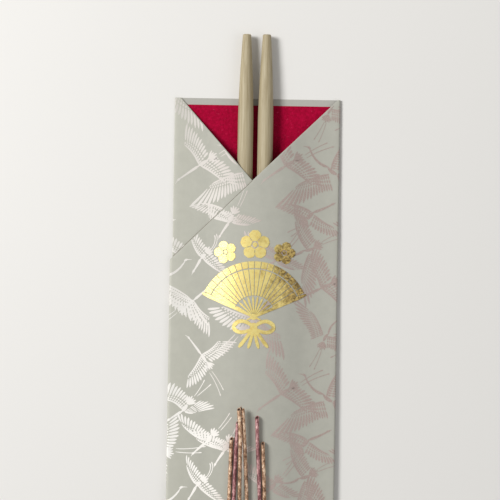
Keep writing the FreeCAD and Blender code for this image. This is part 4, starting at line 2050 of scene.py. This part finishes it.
    def build(self, lie: Lie, core: bpy.types.Material) -> bpy.types.Object:
        """Builds the cord.

        Args:
            lie: how the sleeve lies.
            core: the material of the cut ends, painted dark as shade.

        Returns:
            The piece.
        """
        places = evenly(self.line(), self.ring_gap)
        mesh = self.skin(places)
        piece = bpy.data.objects.new(self.name + "_foil", mesh)
        bpy.context.collection.objects.link(piece)
        mesh.materials.append(self.foil.made())
        mesh.materials.append(core)
        self.cut_ends(piece, places)
        edit(piece)
        bpy.ops.mesh.select_all(action="SELECT")
        bpy.ops.mesh.normals_make_consistent(inside=False)
        leave()
        smooth(piece, 50)
        return lie.settle(piece)

    def cut_ends(self, piece: bpy.types.Object, places: Sequence[Vector]) -> None:
        """Closes both tips: cut at a slant, the foil's edge round a sunk core painted dark as
        shade.

        Args:
            piece: the cord, open at both ends.
            places: the points of its middle, from tip to tip.
        """
        edit(piece)
        for tip, inner in ((places[0], places[2]), (places[-1], places[-3])):
            out = (tip - inner).normalized()
            self.slant_rim(piece, tip, out)
            for scale, sink in self.tip_steps:
                bpy.ops.mesh.extrude_region_move(
                    TRANSFORM_OT_translate={"value": tuple(out * sink)})
                bpy.ops.transform.resize(value=(scale,) * 3, center_override=tuple(tip))
                shape = bmesh.from_edit_mesh(piece.data)
                for face in shape.faces if sink else ():
                    if any(edge.select for edge in face.edges):
                        face.material_index = 1
            bpy.ops.mesh.edge_face_add()
            paint_picked(piece, 1)
        leave()

    def slant_rim(self, piece: bpy.types.Object, tip: Vector, out: Vector) -> None:
        """Picks the open edges at a tip and slants them, in edit mode.

        Where a cord's tips are less than `tip_reach` apart, this also picks edges of the other.

        Args:
            piece: the cord.
            tip: the end of its middle line.
            out: the way that the cord points there.
        """
        bpy.ops.mesh.select_mode(type="EDGE")
        bpy.ops.mesh.select_all(action="DESELECT")
        shape = bmesh.from_edit_mesh(piece.data)
        for edge in shape.edges:
            if edge.is_boundary and (edge.verts[0].co - tip).length < self.tip_reach:
                edge.select_set(True)
                for vertex in edge.verts:
                    if not vertex.tag:
                        vertex.tag = True
                        away = vertex.co - tip
                        vertex.co += out * (away.x * self.slant[0] - away.z * self.slant[1])
        bmesh.update_edit_mesh(piece.data)


def evenly(places: Sequence[Vector], gap: float) -> list[Vector]:
    """The same line with its points about a gap apart, for rings of even spacing.

    Args:
        places: points read from the smooth line.
        gap: how far apart they come.

    Returns:
        The points.
    """
    total = sum((b - a).length for a, b in zip(places, places[1:]))
    count = max(2, round(total / gap))
    step, made, walked, i = total / count, [places[0].copy()], 0.0, 0
    for n in range(1, count):
        aim = n * step
        while walked + (places[i + 1] - places[i]).length < aim:
            walked += (places[i + 1] - places[i]).length
            i += 1
        share = (aim - walked) / (places[i + 1] - places[i]).length
        made.append(places[i].lerp(places[i + 1], share))
    return made + [places[-1].copy()]


# ------------------------------------------------------------------ the sticks and the lining
@dataclass
class Chopstick:
    """A round stick, planed in narrow faces: even middle, both ends tapered in a gentle curve.

    `half_taper` is its thickness half way along a taper, and `even` is left at each end of the
    middle part before its rings start.
    """

    name: str
    across: float
    shape: SleeveShape
    half_taper: float = 5.8
    tip: float = 3.8
    edge: float = 0.6
    even: float = 1.5
    sides: int = 24

    def profile(self) -> list[Spot]:
        """Works out the stick's outline.

        Returns:
            Radius and place along the stick, from its lower end to its upper.
        """
        full, tip, edge = self.shape.stick / 2, self.tip / 2, self.edge
        long, taper = self.shape.stick_long, self.shape.stick_taper
        swell = 2 * (self.half_taper - full - tip)
        low = [(tip - a * edge, b * edge)
               for a, b in ((1, 0), (0.45, 0.12), (0.12, 0.45), (0, 1))]
        rise = [(tip + (full - tip) * a + swell * a * (1 - a), edge + (taper - edge) * a)
                for a in (0.12, 0.25, 0.38, 0.5, 0.62, 0.75, 0.88)]
        start = taper + self.even
        body = [(full, start + (long / 2 - start) * a) for a in (0, 0.25, 0.5, 0.75)]
        lower = low + rise + body
        upper = [(radius, long - along) for radius, along in reversed(lower)]
        return lower + [(full, long / 2)] + upper

    def build(self, lie: Lie, wood: bpy.types.Material) -> bpy.types.Object:
        """Builds the stick by drawing its section out along its profile.

        Args:
            lie: how the sleeve lies.
            wood: its material.

        Returns:
            The piece.
        """
        start = Vector((self.across, -self.shape.stick_end, self.shape.stick_middle))
        rings = self.profile()
        deselect()
        bpy.ops.mesh.primitive_circle_add(vertices=self.sides, radius=rings[0][0],
                                          fill_type="NGON")
        piece = bpy.context.object
        piece.name = piece.data.name = self.name + "_wood"
        edit(piece)
        bpy.ops.mesh.select_all(action="SELECT")
        bpy.ops.transform.rotate(value=math.pi / 2, orient_axis="X", center_override=(0, 0, 0))
        bpy.ops.transform.translate(value=tuple(start))
        for (before, behind), (radius, along) in zip(rings, rings[1:]):
            bpy.ops.mesh.extrude_region_move(
                TRANSFORM_OT_translate={"value": (0, along - behind, 0)})
            bpy.ops.transform.resize(
                value=(radius / before, 1, radius / before),
                center_override=(start.x, start.y + along, start.z))
        bpy.ops.mesh.select_all(action="SELECT")
        bpy.ops.mesh.normals_make_consistent(inside=False)
        leave()
        finish_with(piece, "BEVEL", width=0.24, segments=1, angle_limit=math.radians(9))
        piece.data.materials.append(wood)
        smooth(piece, 30)
        return lie.settle(piece)


@dataclass
class Lining:
    """The crimson sheet on the inside of the back panel."""

    shape: SleeveShape
    inset: float = 3.0
    side: float = 0.6
    end: float = 13.0
    thin: float = 0.03

    def build(self, lie: Lie, paper: bpy.types.Material) -> bpy.types.Object:
        """Builds the sheet, with its edges rounded a little.

        Args:
            lie: how the sleeve lies.
            paper: its material.

        Returns:
            The piece.
        """
        s = self.shape
        wide, long = 2 * (s.half - self.side), s.length - self.inset - self.end
        middle = (0, -self.inset - long / 2, s.paper)
        sheet = grid("red_lining_paper", wide, long, 36, 74, middle)
        finish_with(sheet, "SOLIDIFY", thickness=s.lining - self.thin, offset=1)
        finish_with(sheet, "BEVEL", width=self.thin, segments=2)
        sheet.data.materials.append(paper)
        smooth(sheet, 30)
        return lie.settle(sheet)


# ------------------------------------------------------------------ the studio
@dataclass(frozen=True)
class Softbox:
    """A soft lamp: where it hangs, what it faces, how large and how strong it is."""

    name: str
    place: Spot3
    target: Spot3
    wide: float
    tall: float
    power: float

    def hang(self) -> None:
        """Makes the lamp and turns it to what it faces."""
        lamp = bpy.data.lights.new(self.name, "AREA")
        lamp.shape = "RECTANGLE"
        lamp.size, lamp.size_y = self.wide, self.tall
        lamp.energy = self.power
        thing = bpy.data.objects.new(self.name, lamp)
        bpy.context.collection.objects.link(thing)
        thing.location = self.place
        way = Vector(self.target) - Vector(self.place)
        thing.rotation_euler = way.to_track_quat("-Z", "Y").to_euler()


@dataclass
class Studio:
    """The table, the lamps and the camera."""

    middle: Spot = (-0.0018, 0.0381)
    high: float = 1.25
    front_high: float = 0.008
    view_wide: float = 0.225
    sensor: float = 36.0
    roll: float = 0.95
    floor_half: float = 1.6
    sky: float = 0.34

    def table(self) -> None:
        """The plain pale top that the object lies on."""
        top = grid("table_top", 2 * self.floor_half, 2 * self.floor_half, 8, 8, (0, 0, 0))
        top.data.materials.append(Floor().made())

    def camera(self) -> None:
        """Looks straight down, with a long lens."""
        view = bpy.data.cameras.new("camera")
        view.sensor_width = self.sensor
        view.lens = self.sensor * self.high / self.view_wide
        view.clip_start, view.clip_end = 0.05, 20.0
        thing = bpy.data.objects.new("camera", view)
        bpy.context.collection.objects.link(thing)
        thing.location = (*self.middle, self.high + self.front_high)
        thing.rotation_euler = (0, 0, math.radians(self.roll))
        bpy.context.scene.camera = thing

    def lights(self) -> None:
        """Soft light from the upper left, a weak one from the right, an even grey sky."""
        aim = (*self.middle, 0.0)
        Softbox("key", (-0.8, 0.4, 0.9), aim, wide=0.42, tall=0.42, power=14.6).hang()
        Softbox("fill", (0.9, -0.1, 0.9), aim, wide=0.8, tall=0.8, power=2.2).hang()
        world = bpy.data.worlds.new("sky")
        world.use_nodes = True
        sky = world.node_tree.nodes["Background"]
        sky.inputs["Color"].default_value = (1, 1, 1, 1)
        sky.inputs["Strength"].default_value = self.sky
        bpy.context.scene.world = world

    def build(self) -> None:
        """Sets the scene up."""
        self.table()
        self.camera()
        self.lights()
        bpy.context.scene.view_settings.view_transform = "Standard"


GOLD = CordFoil("gold_cord_foil", srgb(246, 220, 192), srgb(190, 150, 118), srgb(90, 58, 38))
WINE = CordFoil("red_cord_foil", srgb(226, 184, 180), srgb(158, 102, 104), srgb(98, 50, 52),
                metal=0.3, rough=0.36)
TAILS: dict[str, tuple[int, Tails, CordFoil]] = {
    "cord_gold_long": (
        1,
        Tails(((-3.8, 66.8, 3.6), (-2.75, 56.5, 3.4), (-2.9, 41.0, 2.9), (-2.8, 27.0, 2.2),
               (-2.8, 21.4, 1.8)),
              ((0.5, 21.4, 0.3), (0.4, 27.0, 0.3), (-0.35, 41.5, 1.1), (-1.25, 56.5, 2.1),
               (-2.0, 66.6, 2.6))),
        GOLD,
    ),
    "cord_red": (
        0,
        Tails(((-4.15, 60.8, 0.3), (-4.75, 50.5, 0.2), (-5.1, 38.5, 0.5), (-5.35, 27.0, 1.4),
               (-5.45, 21.4, 1.4)),
              ((6.3, 21.4, 0.1), (6.2, 27.0, 0.1), (5.6, 38.5, 0.2), (4.8, 52.0, 0.2),
               (4.4, 63.2, 0.4))),
        WINE,
    ),
    "cord_gold_short": (
        -1,
        Tails(((-6.9, 53.4, 0.4), (-7.2, 41.0, 0.1), (-7.5, 27.0, 0.5), (-7.6, 21.4, 0.7)),
              ((8.35, 21.4, 0.1), (8.3, 27.0, 0.1), (7.85, 40.0, 0.1), (7.2, 51.6, 0.4))),
        GOLD,
    ),
}


def show(piece: bpy.types.Object, node: str | None = None) -> None:
    """Rides a piece on the object.

    Args:
        piece: the piece.
        node: the frame node that it takes the place of, if there is one.
    """
    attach(piece, "root")
    if node is not None:
        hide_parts(node)
    log.info("%s: %d faces", piece.name, len(piece.data.polygons))


def main() -> None:
    """Builds every sub-assembly in order."""
    logging.basicConfig(level=logging.INFO, format="%(name)s %(message)s")
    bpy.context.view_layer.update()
    Studio().build()
    shape, sizes = SleeveShape(), CordSizes()
    lie, core = Lie(shape, sizes), CordEndShade().made()
    for node, (side, tails, foil) in TAILS.items():
        cord = Cord(node, side, tails, foil, shape, sizes)
        show(cord.build(lie, core), node)
    # the third material is painted shade along the over flap's fold
    papers = (PatternedPaper().made(), PlainPaper().made(), PaintedFoldShade().made())
    show(Sleeve(shape).build(lie, papers), "sleeve")
    show(Lining(shape).build(lie, RedPaper().made()), "red_lining")
    brush, folded = Brush(), Folded(shape)
    for piece in CranePrint(folded, brush).build(lie, PearlInk().made()):
        show(piece)
    show(FanCrest(folded, brush).build(lie, GoldFoil().made()))
    brush.put_away()
    wood = PaleWood().made()
    for node, across in (("chopstick_left", -5.15), ("chopstick_right", 3.85)):
        show(Chopstick(node, across, shape).build(lie, wood), node)


if __name__ == "__main__":
    main()
